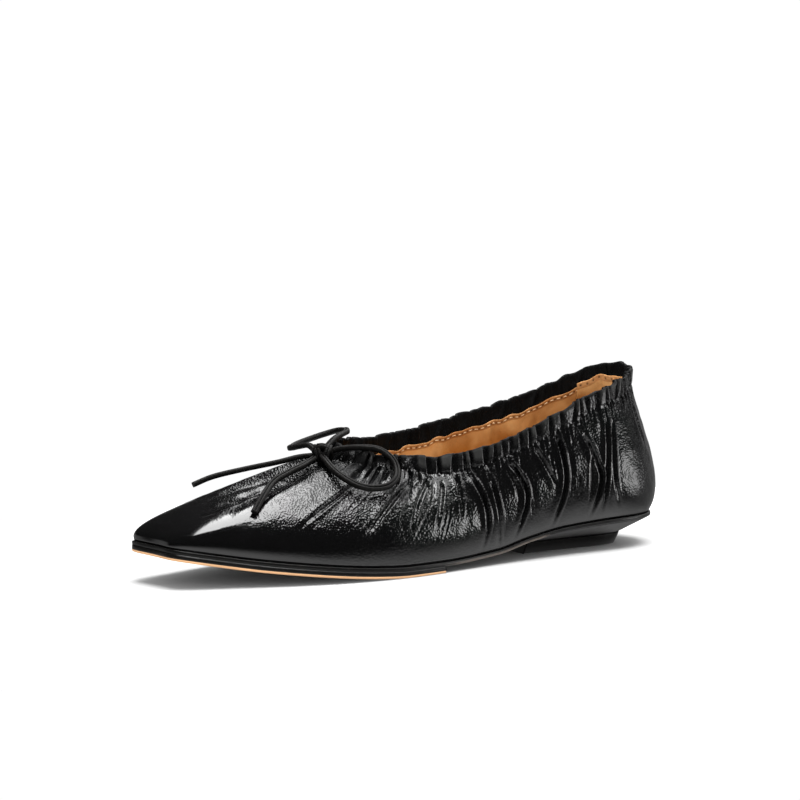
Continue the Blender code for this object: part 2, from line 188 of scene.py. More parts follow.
# Camera at the photograph's viewing angle: where it stands round the shoe, and where it looks
CAMERA_TARGET = np.array((0.0, 0.0, 30.0)) * MM + SHIFT
CAMERA_AZIMUTH = 55.724
CAMERA_ELEVATION = 7.089
CAMERA_DISTANCE = 900.0 * MM
LOOK_AZIMUTH = 56.156
LOOK_ELEVATION = 4.66
LENS = 95.089
SENSOR_WIDTH = 36.0
CLIP_START = 0.01

# A crease across its own line: each hump by its height, its place towards the toe and its reach, in
# widths of the crease, then how far the crease is felt and how it ends, in widths too. The inner
# side's main creases are moved a little from the outer side's.
Hump = namedtuple("Hump", "name height place reach")
CREASE_HUMPS = (
    Hump("trough", -0.80, 0.0, 0.85),
    Hump("dip", -0.25, 0.0, 4.0),
    Hump("toe roll", 0.55, 2.0, 1.6),
    Hump("heel roll", 0.45, -1.6, 0.75),
)
CREASE_REACH = 5.0
CREASE_ENDS = 1.5
INNER_MOVE = 0.012
INNER_RATE = 2.3

# Small creases, drawn at random under the frill: how many to a side, where they start and end, how
# they drift and sway on their way down the wall, and their depths and widths in mm
MINOR_SEED = 11
MINOR_COUNT = 12
MINOR_SPAN = (0.18, 0.80)
MINOR_TOP = (0.75, 0.96)
MINOR_FALL = (0.35, 0.75)
MINOR_DRIFT_PLACES = (0.10, 0.20, 0.30, 0.42, 0.50, 0.60, 0.80)
MINOR_DRIFT = (0.0, 0.02, -0.01, -0.05, 0.0, 0.10, 0.07)
MINOR_SWAY = 0.012
MINOR_DEPTH = (0.20, 0.55)
MINOR_WIDTH = (0.50, 0.75)

# Fine creasing of the leather, pulled smooth along Y at the toe and up the wall at its foot
CRINKLE_SEED = 3
CRINKLE_WAVES = 40
CRINKLE_LENGTHS = (3.5 * MM, 10.0 * MM)
CRINKLE_GAIN = 2.2
TOE_CRINKLE = (-116.0 * MM, -84.0 * MM)
FOOT_CRINKLE = (0.06, 0.40)

# How strongly the grain shows: places along Y, in mm, with a share for each, the shares at the foot
# of the wall and above it, and what is lost along the ridge of the vamp
GRAIN_PLACES = (-116.0, -90.0, -72.0, -50.0, -30.0, -8.0, 120.0)
GRAIN_SHARES = (0.0, 0.38, 0.68, 1.0, 1.0, 0.55, 0.42)
FOOT_GRAIN = (0.25, 1.0)
RIDGE_START = (0.86, 0.93)
RIDGE_END = (-72.0 * MM, -58.0 * MM)
RIDGE_LOSS = 0.65

# Dull leather: bunched up behind the bow, where only its crests shine, and over the heel's counter
DULL_START = (-50.0 * MM, -45.0 * MM)
DULL_END = (-28.0 * MM, -20.0 * MM)
DULL_REACH = (14.0 * MM, 22.0 * MM)
DULL_SHARE = 0.8
CREST = (0.0, 0.45)
COUNTER_DULL = 0.45
COUNTER_END = (0.13, 0.20)

# Pleats of the collar: how uneven they are and how they lean, over which shares of its width a pleat
# rises, falls and is flat, and how far its own number moves these
PLEAT_SEED = 5
PLEAT_JITTER = 0.9
PLEAT_LEAN = 0.35
PLEAT_RISE = (0.0, 0.24)
PLEAT_FALL = (0.62, 0.98)
PLEAT_SPREAD = 0.12
PLEAT_TILT = 0.9
PLEAT_MIDDLE = 0.45
FLAT_RISE = (0.10, 0.24)
FLAT_FALL = (0.60, 0.78)
FLAT_SPREAD = (0.12, 0.10)

# Strength of the pleats, from the weakest to the strongest, on the frill and on the wall below it,
# where finer ones run between them, and the elastic's pinch between frill and wall
PLEAT_STRENGTH = (0.5, 1.4)
FRILL_STRENGTH = (0.7, 1.0)
RUFFLE_SHARE = 0.25
FINE_PITCH = 0.62
FINE_REACH = (3.0 * MM, 11.0 * MM)
FINE_STRENGTH = (0.12, 0.52)
FRILL_MEETS = (-1.0 * MM, 1.2 * MM)
ELASTIC_PINCH = 0.35 * MM
ELASTIC_WIDTH = 1.3 * MM
ELASTIC_STRENGTH = (0.4, 1.0)
WANDER_LENGTHS = (30.0 * MM, 8.0 * MM)
GATHER_WANDER = 0.7 * MM
EDGE_WANDER = 0.6 * MM
EDGE_JITTER = 0.25
EDGE_POWER = 1.5

# Deep gathers beside the bow with crumpled leather between them, and the puff of the vamp
THROAT_START = (0.54, 0.62)
THROAT_END = (0.80, 0.86)
THROAT_PITCH = 3.4 * MM
THROAT_DEPTH = 1.5 * MM
THROAT_REACH = (11.0 * MM, 24.0 * MM)
THROAT_STRENGTH = (0.5, 1.3)
CRUMPLE = 5.0
PUFF_HEIGHT = 1.1 * MM
PUFF_REACH = (6.0 * MM, 34.0 * MM)
PUFF_START = (0.78, 0.86)

# Dull bands on the flats of the frill's pleats, fewer over the vamp and the heel. Their grey is a
# painted sheen on the lit flats, while the gaps between the pleats stay black.
BAND_START = 0.5 * MM
BAND_FULL = (2.0 * MM, 4.5 * MM)
BAND_SHARES = (0.1, 1.0)
BAND_POWER = 1.5
BAND_MATT = 0.85
INSIDE_BAND = 0.06
VAMP_BANDS = (0.74, 0.82)
VAMP_LOSS = 0.8
HEEL_BANDS = (0.08, 0.16)
HEEL_LOSS = 0.5
FRILL_MATT = 0.25

# Shell of the upper: its inner side follows the outer side's folds softly
NORMAL_PASSES = 4
INNER_SHARE = 0.7
INNER_FREEDOM = 0.8 * MM
INNER_REACH = (4, 5)
INNER_FRILL_ROWS = 7
INNER_WALL_ROWS = 10
SHELL_BLEND = (0.8, 1.0)
TUCK = 0.45 * MM

# Angles of the steps in which an edge turns over
TURN_OVER = np.linspace(0.0, np.pi, 5)[1:-1, None]

# The lining inside the upper, its hem, its stitches, with a nudge that keeps their direction from
# having no length, and the grip at the heel
LINING_ROWS = 24
LINING_BACK_STEP = 4
LINING_FOOT = 0.02
LINING_GAP = 0.45 * MM
LINING_TOP = 0.3 * MM
LINING_WAVE = 0.7 * MM
# Painted shade: the depth below the hem over which the lining's colour deepens towards the sole
LINING_SHADE = 9.0 * MM
# Share of the lining's colour given to pale and dark cloud patches, a painted satin sheen
LINING_SHEEN = 0.65
LINING_SEED = 21
HEM = 2.6 * MM
HEM_EDGE = 0.9
HEM_ROWS = 9
SEAM_ROW = HEM_ROWS // 2
HEM_BUCKLE = 0.7 * MM
HEM_BUCKLE_REACH = 7.0 * MM
# Size of a needle hole, which is painted dark as shade
NEEDLE_HOLE = 0.42 * MM
STITCH_SHARE = 0.62
STITCH_WIDTH = 0.55 * MM
STITCH_HEIGHT = 0.45 * MM
STITCH_AHEAD = 0.5 * MM
STITCH_FORM = {"segments": 6, "ring_count": 4, "radius": 1.0}
NUDGE = 1e-9
GRIP_SHARE = 0.12
GRIP_RISE = 1.5 * MM
GRIP_DEPTH = 26.0 * MM

# Section of the lace, in half widths and half thicknesses, flat below and grooved above, and how
# worn its corners are
LACE_SECTION = (
    (-1.00, -0.40), (-0.82, -0.88), (-0.40, -1.00), (0.40, -1.00),
    (0.82, -0.88), (1.00, -0.40), (1.00, 0.30), (0.84, 0.82),
    (0.52, 1.00), (0.22, 0.92), (0.08, 0.50), (-0.08, 0.50),
    (-0.22, 0.92), (-0.52, 1.00), (-0.84, 0.82), (-1.00, 0.30),
)
LACE_LINES = (0.0, 0.0, 0.0, 0.0, 0.0, 0.2, 0.8, 1.0, 0.3, 0.9, 0.2, 0.2, 0.9, 0.3, 1.0, 0.8)
LACE_STEP = 0.7 * MM
LACE_SHARP = np.radians(50.0)
VAMP_AXIS_HEIGHT = 12.0 * MM

# The knot, in mm from its centre: a core, and turns of lace round it, each by its centre and by the
# two half axes of its ring
KNOT_CORE_CENTRE = (0.9, 1.3, -0.6)
KNOT_CORE_HALVES = (3.0, 3.6, 3.3)
Wrap = namedtuple("Wrap", "centre first second")
KNOT_WRAPS = (
    Wrap((1.3, 2.0, -0.8), (3.0, -2.1, 0.3), (0.7, 1.2, 4.0)),
    Wrap((-0.2, -0.3, -0.3), (2.9, -2.0, -0.3), (-0.6, -0.9, 3.7)),
    Wrap((1.2, 0.6, 0.4), (1.9, 2.9, -0.6), (1.2, -0.7, 3.2)),
)
KNOT_STEPS = 48
KNOT_FORM = {"segments": 24, "ring_count": 14, "radius": 1.0}

# Sole pieces: how their flat faces shrink towards the middle, their rounded edge by its inset and its
# height in mm, where along Y the waist's lower edge gets a painted highlight, and the heel from its
# foot to its top
FLAT_SHARES = np.linspace(0.04, 0.975, 18)
SOLE_COLUMNS = 420
BREAST_STEPS = 24
EDGE_PROFILE = ((0.55, 0.0), (0.20, 0.10), (0.0, 0.40))
SOLE_GLOSS = 0.3
SOCK_INSET = 2.9 * MM
# Share of the sock's colour given to the same painted sheen patches
SOCK_SHEEN = 0.12
EDGE_HIGHLIGHT_START = (-12.0 * MM, 4.0 * MM)
EDGE_HIGHLIGHT_END = (46.0 * MM, 52.0 * MM)
GROOVE = 0.12 * MM
HEEL_GLOSS = 0.06
HEEL_FOOT = ((0.5 * MM, 0.0), (0.1 * MM, 0.03))
HEEL_STEPS = np.linspace(0.1, 0.94, 8)
HEEL_TOP = 0.2 * MM
LIFT_EDGE = 0.5

# Textures, in features to a metre, the grain's angle from +X and how long it is drawn, and how high
# each relief stands
GRAIN_SCALE = 1400.0
GRAIN_TURN = np.radians(-34.0)
GRAIN_STRETCH = 2.6
BROAD_SCALE = 330.0
DUST_SCALE = 90.0
BAND_SCALE = 210.0
PORE_SCALE = 1900.0
CLOUD_SCALE = 50.0
FOLD_SCALE = 140.0
WEAR_SCALE = 400.0
FIBRE_SCALE = 900.0
SOLE_CLOUD_SCALE = 60.0
LACE_SCALE = 1300.0
TWIST_SCALE = 900.0
SPECK_SCALE = 300.0
GRAIN_RELIEF = 0.32 * MM
LINING_RELIEF = 0.10 * MM
EDGE_RELIEF = 0.06 * MM
FIBRE_RELIEF = 0.08 * MM
THREAD_RELIEF = 0.04 * MM

# Floor, softbox and studio: strengths of the studio's lights, and their bounds by direction, by
# height or by angle in degrees
FLOOR_REACH = (0.22, 0.32)
FLOOR_FORM = {"vertices": 96, "radius": 1.0, "fill_type": "NGON"}
SOFTBOX_SIZE = (0.91, 1.0)
SOFTBOX_PLACE = (0.055, 0.05, 1.0)
SOFTBOX_POWER = 32.0
OVERHEAD_LIGHT = 11.0
OVERHEAD_TURN = (0.44, 0.90)
OVERHEAD_FAR = (-0.11, -0.06)
OVERHEAD_NEAR = (0.49, 0.55)
OVERHEAD_RISE = (0.30, 0.45)
OVERHEAD_DIM = (0.18, 0.32)
OVERHEAD_FALL = 0.78
WALL_LIGHT = 0.3
WALL_SIDE = (-0.05, 0.15)
WALL_TOP = (0.08, 0.24)
GROUND_LIGHT = 1.1
GROUND_DEPTH = (0.20, 0.70)
STRIP_LIGHT = 5.5
STRIP_AZIMUTH = 150.0
STRIP_REACH = (14.0, 8.0)
STRIP_TOP = (0.24, 0.40)
PANEL_LIGHT = 1.8
PANEL_DIRECTION = (0.20, 0.75, 0.80)
PANEL_REACH = (22.0, 14.0)
ROOM_LIGHT = 0.02
FILL_LIGHT = 1.1
WHITE = (1.0, 1.0, 1.0, 1.0)

# Sockets of a Mix node that works on colours
MIX_A = 6
MIX_B = 7
MIX_COLOUR = 2


def length_property(name, description, default):
    """A size that a user may change."""
    return bpy.props.FloatProperty(
        name=name, description=description, default=default, min=0.0, precision=4, unit="LENGTH"
    )


def colour_property(name, description, default):
    """A colour that a user may change."""
    return bpy.props.FloatVectorProperty(
        name=name, description=description, default=default, min=0.0, max=1.0, subtype="COLOR"
    )


class ShoeSizes(bpy.types.PropertyGroup):
    """Sizes of the visible pieces."""

    leather: length_property("Leather", "Thickness of the upper's leather", 1.2 * MM)
    frill: length_property("Frill", "Thickness of the turned-over frill", 1.6 * MM)
    pleat_pitch: length_property("Pleat pitch", "Distance between pleats at the collar", 5.2 * MM)
    pleat_depth: length_property("Pleat depth", "Height of a pleat at the frill's edge", 0.8 * MM)
    crinkle: length_property("Crinkle", "Height of the leather's fine creasing", 0.06 * MM)
    lining: length_property("Lining", "Thickness of the lining", 0.7 * MM)
    stitch_pitch: length_property("Stitch pitch", "Distance between the lining's stitches", 3.2 * MM)
    lace_width: length_property("Lace width", "Width of the bow's lace", 2.7 * MM)
    lace_thickness: length_property("Lace thickness", "Thickness of the bow's lace", 2.2 * MM)
    outsole: length_property("Outsole", "Thickness of the full sole", 1.7 * MM)
    forefoot: length_property("Half sole", "Thickness of the half sole", 2.5 * MM)
    tan_layer: length_property("Tan layer", "Height of the half sole's natural layer", 1.0 * MM)
    sock: length_property("Sock", "Thickness of the insole", 2.3 * MM)


class ShoeColours(bpy.types.PropertyGroup):
    """Colours of the finishes and of the stage."""

    patent: colour_property("Patent", "Black patent leather", (0.0024, 0.0024, 0.0025))
    # Painted sheen: grey painted on the flats of the frill's pleats, which catch the light, beside the
    # black gaps
    frill: colour_property("Frill", "Dull flats of the frill's pleats", (0.034, 0.034, 0.033))
    lining: colour_property("Lining", "Tan lining leather", (0.74, 0.45, 0.19))
    # Painted shade and sheen: the deeper tan of the lining's dark cloud patches and of its lower part
    lining_dark: colour_property("Lining shade", "Deeper tan of the lining's folds", (0.31, 0.11, 0.015))
    sock: colour_property("Sock", "Tan leather of the insole", (0.34, 0.18, 0.065))
    hem: colour_property("Hem", "Turned hem of the lining", (0.27, 0.085, 0.018))
    thread: colour_property("Thread", "Lining stitches", (0.80, 0.58, 0.34))
    edge: colour_property("Sole edge", "Black sole edge", (0.0040, 0.0038, 0.0036))
    # Painted highlight: a paler brown painted on the lower rounded edge of the waist, where it catches the
    # light
    edge_highlight: colour_property("Rubbed edge", "Worn lower edge of the waist", (0.10, 0.082, 0.068))
    natural: colour_property("Natural sole", "Tan layer of the half sole", (0.60, 0.34, 0.17))
    lace: colour_property("Lace", "Dark leather of the bow", (0.0020, 0.0019, 0.0018))
    lace_line: colour_property("Lace line", "Worn line along the lace", (0.0075, 0.0070, 0.0065))
    floor: colour_property("Floor", "Pale studio floor", (0.50, 0.50, 0.50))


def smoothstep(low, high, values):
    """Rise smoothly from 0 at low to 1 at high."""
    share = np.clip((values - low) / (high - low), 0.0, 1.0)
    return share * share * (3.0 - 2.0 * share)


def window(start, end, values):
    """Rise smoothly from 0 to 1 over start, and fall again over end."""
    return smoothstep(*start, values) * (1.0 - smoothstep(*end, values))


def between(limits, share):
    """The value at a share of the way between two limits."""
    return limits[0] + (limits[1] - limits[0]) * share


def bell(values, width):
    """Soft hump of height one about zero."""
    return np.exp(-((values / width) ** 2))


def unit(vectors):
    """Scale the last axis to length one."""
    return vectors / np.linalg.norm(vectors, axis=-1, keepdims=True)


def square_to(run, vectors):
    """Directions square to each run, as near as they can be to the given vectors."""
    return unit(vectors - run * (vectors * run).sum(axis=1, keepdims=True))


def heading(azimuth):
    """Level direction at an angle in degrees from -Y, turning towards +X."""
    angle = np.radians(azimuth)
    return np.array((np.sin(angle), -np.cos(angle), 0.0))


def lengths_along(points):
    """Length of the way along a route to each of its points."""
    return np.append(0.0, np.cumsum(np.linalg.norm(np.diff(points, axis=0), axis=1)))


def read_along(lengths, rows, places):
    """Rows of values, each given at its length along a route, read at other places."""
    return np.stack([np.interp(places, lengths, column) for column in rows.T], axis=1)


def smooth_route(points, step):
    """Points at even steps along a smooth curve through a route's own points."""
    ends = np.vstack([2.0 * points[0] - points[1], points, 2.0 * points[-1] - points[-2]])
    before, start, end, after = ends[:-3], ends[1:-2], ends[2:-1], ends[3:]
    shares = np.linspace(0.0, 1.0, ROUTE_POINTS, endpoint=False)[:, None, None]
    curve = 0.5 * (
        2.0 * start
        + (end - before) * shares
        + (2.0 * before - 5.0 * start + 4.0 * end - after) * shares**2
        + (3.0 * start - before - 3.0 * end + after) * shares**3
    )
    dense = np.vstack([curve.transpose(1, 0, 2).reshape(-1, points.shape[1]), points[-1:]])
    lengths = lengths_along(dense)
    count = max(2, round(lengths[-1] / step))
    return read_along(lengths, dense, np.linspace(0.0, lengths[-1], count + 1))


class ClosedSpline:
    """Cubic spline through rows of values around a closed loop, smooth to its second derivative."""

    def __init__(self, knots, values, period):
        self.knots = np.append(knots, period)
        self.values = np.vstack([values, values[:1]])
        self.period = period
        gaps = np.diff(self.knots)
        count = len(knots)
        system = np.zeros((count, count))
        slopes = np.diff(self.values, axis=0) / gaps[:, None]
        for row in range(count):
            before = gaps[row - 1]
            after = gaps[row]
            system[row, row - 1] += before
            system[row, row] += 2.0 * (before + after)
            system[row, (row + 1) % count] += after
        bends = np.linalg.solve(system, 6.0 * (slopes - np.roll(slopes, 1, axis=0)))
        self.bends = np.vstack([bends, bends[:1]])

    def __call__(self, places):
        places = np.mod(places, self.period)
        piece = np.clip(np.searchsorted(self.knots, places, side="right") - 1, 0, len(self.knots) - 2)
        span = self.knots[piece + 1] - self.knots[piece]
        right = ((places - self.knots[piece]) / span)[..., None]
        left = 1.0 - right
        curve = left * self.values[piece] + right * self.values[piece + 1]
        bend = (left**3 - left) * self.bends[piece] + (right**3 - right) * self.bends[piece + 1]
        return curve + bend * (span**2)[..., None] / 6.0


def sole_top(y):
    """Height of the sole's upper face at y in the last: a monotone curve through PROFILE."""
    along = (HEEL_END - y) / SOLE_LENGTH
    places = np.array([row.along for row in PROFILE])
    heights = np.array([row.height for row in PROFILE]) * MM
    gaps = np.diff(places)
    steps = np.diff(heights) / gaps
    slopes = np.zeros_like(places)
    for row in range(1, len(places) - 1):
        if steps[row - 1] * steps[row] > 0.0:
            slopes[row] = 2.0 / (1.0 / steps[row - 1] + 1.0 / steps[row])
    slopes[-1] = steps[-1]
    piece = np.clip(np.searchsorted(places, along, side="right") - 1, 0, len(gaps) - 1)
    span = gaps[piece]
    share = (along - places[piece]) / span
    rise = 3.0 * share**2 - 2.0 * share**3
    leave = share**3 - 2.0 * share**2 + share
    arrive = share**3 - share**2
    height = heights[piece] + rise * (heights[piece + 1] - heights[piece])
    return height + span * (leave * slopes[piece] + arrive * slopes[piece + 1])


class Last:
    """The shoe's form: outline, feather line, collar and wall, all by the place around the outline."""

    # Columns of a section's values
    PLAN = slice(0, 2)
    RIM_PLAN = slice(2, 4)
    RIM = slice(2, 5)
    HANDLES = range(5, 9)
    LEAN = slice(9, 10)

    def __init__(self):
        outer = np.array([self.row_values(row, row.outer, row.outer_rise, 1.0) for row in SECTIONS])
        inner = np.array([self.row_values(row, row.inner, row.inner_rise, -1.0) for row in SECTIONS])
        self.stations = (lengths_along(outer[:, self.PLAN]) + lengths_along(inner[:, self.PLAN])) / 2.0
        self.half = self.stations[-1]
        knots = np.append(self.stations, 2.0 * self.half - self.stations[-2:0:-1])
        values = np.vstack([outer, inner[-2:0:-1]])
        self.spline = ClosedSpline(knots, values, 2.0 * self.half)

    def row_values(self, row, half_width, rim_rise, side):
        """One section's columns on one side of the shoe, in metres and radians."""
        return [
            side * half_width * BALL_WIDTH,
            HEEL_END - row.along * SOLE_LENGTH,
            side * row.rim_half * BALL_WIDTH,
            HEEL_END - row.rim_along * SOLE_LENGTH,
            between((THROAT_HEIGHT, BACK_HEIGHT), rim_rise),
            row.swell * MM,
            row.climb * MM,
            row.spread * MM,
            row.drop * MM,
            np.radians(row.lean),
        ]

    def station_at(self, along):
        """Place on the outer side where the share along the sole is reached."""
        return float(np.interp(along, [row.along for row in SECTIONS], self.stations))

    def outline(self, places):
        """Plan of the sole's edge."""
        plan = self.spline(places)[..., self.PLAN]
        along = (HEEL_END - plan[..., 1]) / SOLE_LENGTH
        plan[..., 1] += TOE_SKEW * smoothstep(SKEW_START, 1.0, along) * plan[..., 0]
        return plan

    def outward(self, places):
        """Plan normal of the sole's edge."""
        run = self.outline(places + READ_STEP) - self.outline(places - READ_STEP)
        return unit(np.stack([-run[..., 1], run[..., 0]], axis=-1))

    def inset(self, places, depth):
        """Plan of the sole's edge, moved inwards."""
        return self.outline(places) - depth * self.outward(places)

    def collar(self, places):
        """Free edge of the frill, and the gathered line under it."""
        values = self.spline(places)
        edge = values[..., self.RIM]
        ahead = self.spline(places + READ_STEP)[..., self.RIM_PLAN]
        run = ahead - self.spline(places - READ_STEP)[..., self.RIM_PLAN]
        inwards = unit(np.stack([run[..., 1], -run[..., 0]], axis=-1))
        lean = values[..., self.LEAN]
        direction = np.concatenate([inwards * np.sin(lean), np.cos(lean)], axis=-1)
        return edge, edge - FRILL_HEIGHT * direction

    def wall(self, places, heights):
        """Outside of the upper: heights run from 0 at the feather line to 1 at the gathered line,
        then to 2 at the frill's free edge."""
        values = self.spline(places)
        swell, climb, spread, drop = (values[..., column, None] for column in self.HANDLES)
        normal = self.outward(places)
        foot_plan = self.inset(places, FEATHER_INSET)
        foot = np.concatenate([foot_plan, sole_top(foot_plan[..., 1:]) + GAP], axis=-1)
        edge, neck = self.collar(places)
        away = unit(foot[..., :2] - neck[..., :2] + SIDE_BIAS * normal)
        low = foot + np.concatenate([normal * swell, climb], axis=-1)
        high = neck + np.concatenate([away * spread, -drop], axis=-1)
        share = np.clip(heights, 0.0, 1.0)[..., None]
        rest = 1.0 - share
        body = rest**3 * foot + 3.0 * rest**2 * share * low + 3.0 * rest * share**2 * high + share**3 * neck
        frill = np.clip(heights - 1.0, 0.0, 1.0)[..., None]
        return body + frill * (edge - neck)


class Skin:
    """Fine grid over the outside of the upper: points, outward normals, and how far the leather's
    gathers, creases and crinkle push each point out."""

    def __init__(self, sizes):
        self.last = Last()
        places = np.linspace(0.0, 2.0 * self.last.half, COLUMNS, endpoint=False)
        body = np.linspace(0.0, 1.0, BODY_ROWS + 1)
        self.heights = np.append(body, np.linspace(1.0, 2.0, FRILL_ROWS + 1)[1:])
        self.base = self.last.wall(*np.meshgrid(places, self.heights, indexing="ij")) + SHIFT
        around = np.roll(self.base, -1, axis=0) - np.roll(self.base, 1, axis=0)
        self.normal = unit(np.cross(np.gradient(self.base, axis=1), around))
        for _ in range(NORMAL_PASSES):
            padded = np.pad(self.normal, ((0, 0), (1, 1), (0, 0)), mode="edge")
            self.normal = unit(padded[:, :-2] + 2.0 * padded[:, 1:-1] + padded[:, 2:])
        steps = np.linalg.norm(np.diff(self.base, axis=1), axis=2)
        climbed = np.pad(np.cumsum(steps, axis=1), ((0, 0), (1, 0)))
        self.above = climbed - climbed[:, BODY_ROWS : BODY_ROWS + 1]
        rim = lengths_along(np.vstack([self.base[:, -1], self.base[:1, -1]]))
        self.rim_place = rim[:-1]
        self.rim_length = rim[-1]
        self.frill_up = unit(self.base[:, -1] - self.base[:, BODY_ROWS])
        side = places / self.last.half
        self.side_share = np.minimum(side, 2.0 - side)
        foot = smoothstep(*FOOT_CRINKLE, self.heights)
        crinkled = smoothstep(*TOE_CRINKLE, self.base[..., 1]) * foot
        gathers = self.gathers(sizes)
        crinkle = self.crinkle()
        self.push = gathers + self.creases() + sizes.crinkle * crinkle * crinkled * self.crumple
        self.inner_push = self.relaxed(gathers)
        self.grain = self.grain_share(foot)
        self.dull = self.dull_share(crinkle)

    def grain_share(self, foot):
        """How strongly the grain shows."""
        along = self.base[..., 1]
        ridge = smoothstep(*RIDGE_START, self.side_share)[:, None]
        ridge = ridge * (1.0 - smoothstep(*RIDGE_END, along))
        shown = np.interp(along, np.array(GRAIN_PLACES) * MM, GRAIN_SHARES)
        return shown * between(FOOT_GRAIN, foot) * (1.0 - RIDGE_LOSS * ridge)

    def dull_share(self, crinkle):
        """How dull the leather is where it is bunched up, between the crests, and over the counter."""
        bunched = window(DULL_START, DULL_END, self.base[..., 1])
        bunched = bunched * (1.0 - smoothstep(*DULL_REACH, -self.above))
        bunched = DULL_SHARE * bunched * (1.0 - smoothstep(*CREST, crinkle))
        counter = COUNTER_DULL * (1.0 - smoothstep(*COUNTER_END, self.side_share))
        return np.maximum(bunched, counter[:, None])

    def relaxed(self, gathers):
        """Push of the inner side: softer than the outer side's, and never far above its hollows."""
        round_reach, up_reach = INNER_REACH
        low = self.push
        for step in range(1, round_reach + 1):
            low = np.minimum(low, np.roll(self.push, step, axis=0))
            low = np.minimum(low, np.roll(self.push, -step, axis=0))
        lowest = low.copy()
        for step in range(1, up_reach + 1):
            lowest[:, step:] = np.minimum(lowest[:, step:], low[:, :-step])
            lowest[:, :-step] = np.minimum(lowest[:, :-step], low[:, step:])
        inner = np.minimum(INNER_SHARE * gathers, lowest + INNER_FREEDOM)
        turns = range(-round_reach, round_reach + 1)
        inner = sum(np.roll(inner, step, axis=0) for step in turns) / len(turns)
        padded = np.pad(inner, ((0, 0), (up_reach, up_reach)), mode="edge")
        shifts = range(2 * up_reach + 1)
        return sum(padded[:, step : step + inner.shape[1]] for step in shifts) / len(shifts)

    def wander(self, seed):
        """Smooth uneven wave round the collar, mostly between -1 and 1."""
        draw = np.random.default_rng(seed)
        total = np.zeros(COLUMNS)
        turned = self.rim_place / self.rim_length
        for count in np.arange(*(round(self.rim_length / length) for length in WANDER_LENGTHS)):
            total += np.sin(TURN * (count * turned + draw.random())) / np.sqrt(count)
        return total / (2.0 * total.std())

    def pleats(self, pitch, seed, place):
        """Uneven box pleats round the collar: their wave, where each is flat, and its own number."""
        draw = np.random.default_rng(seed)
        count = round(self.rim_length / pitch)
        widths = 1.0 + PLEAT_JITTER * (draw.random(count) - 0.5)
        edges = np.append(0.0, np.cumsum(widths) / widths.sum() * self.rim_length)
        phase = np.interp(place % self.rim_length, edges, np.arange(count + 1))
        share = phase % 1.0
        number = phase.astype(int) % count
        own = draw.random(count)[number]
        tilt = draw.random(count)[number] - 0.5
        raised = window(PLEAT_RISE, (PLEAT_FALL[0] + PLEAT_SPREAD * own, PLEAT_FALL[1]), share)
        wave = 2.0 * raised - 1.0 + PLEAT_TILT * tilt * (share - PLEAT_MIDDLE) * raised
        fall = [at + spread * own for at, spread in zip(FLAT_FALL, FLAT_SPREAD)]
        return wave, window(FLAT_RISE, fall, share), own

    def gathers(self, sizes):
        """Pleats drawn up by the collar's elastic: ruffles on the frill, finer gathers below it. This
        also sets how crumpled the leather is, the wave of the frill's edge, and its dull bands, which carry
        a painted sheen."""
        rim = self.rim_place[:, None]
        above = self.above + GATHER_WANDER * self.wander(PLEAT_SEED + 2)[:, None]
        lean = PLEAT_LEAN * self.wander(PLEAT_SEED + 4)[:, None]
        place = rim + lean * np.clip(above, -FRILL_HEIGHT, FRILL_HEIGHT)
        ruffle, flat, own = self.pleats(sizes.pleat_pitch, PLEAT_SEED, place)
        fine, _, fine_own = self.pleats(sizes.pleat_pitch * FINE_PITCH, PLEAT_SEED + 1, rim)
        deep, _, deep_own = self.pleats(THROAT_PITCH, PLEAT_SEED + 6, rim)
        ruffle = ruffle * between(PLEAT_STRENGTH, own)
        below = 1.0 - smoothstep(0.0, between(FINE_REACH, fine_own), -above)
        drawn = 1.0 - smoothstep(0.0, between(THROAT_REACH, deep_own), -above)
        drawn = drawn * window(THROAT_START, THROAT_END, self.side_share)[:, None]
        puffed = smoothstep(*PUFF_START, self.side_share)[:, None]
        out = np.clip(above / FRILL_HEIGHT, 0.0, 1.0)
        frill = sizes.pleat_depth * between(FRILL_STRENGTH, out) * ruffle
        finer = between(FINE_STRENGTH, fine_own) * fine
        body = sizes.pleat_depth * below * (RUFFLE_SHARE * ruffle + finer)
        body = body + THROAT_DEPTH * drawn * deep * between(THROAT_STRENGTH, deep_own)
        body = body + PUFF_HEIGHT * puffed * window((0.0, PUFF_REACH[0]), PUFF_REACH, -above)
        meet = smoothstep(*FRILL_MEETS, above)
        pinch = ELASTIC_PINCH * bell(above, ELASTIC_WIDTH) * between(ELASTIC_STRENGTH, fine_own)
        self.crumple = 1.0 + CRUMPLE * drawn
        self.edge_wave = self.wander(PLEAT_SEED + 3) + EDGE_JITTER * (own[:, -1] - 0.5)
        self.band = self.bands(flat, own, above)
        return between((body, frill), meet) - pinch

    def bands(self, flat, own, above):
        """How much of the dull band, with its painted sheen, each point of the frill's flats shows."""
        vamp = VAMP_LOSS * smoothstep(*VAMP_BANDS, self.side_share)
        heel = HEEL_LOSS * (1.0 - smoothstep(*HEEL_BANDS, self.side_share))
        shown = (1.0 - vamp) * (1.0 - heel)
        rise = smoothstep(BAND_START, between(BAND_FULL, own), above)
        return shown[:, None] * flat * between(BAND_SHARES, own**BAND_POWER) * rise

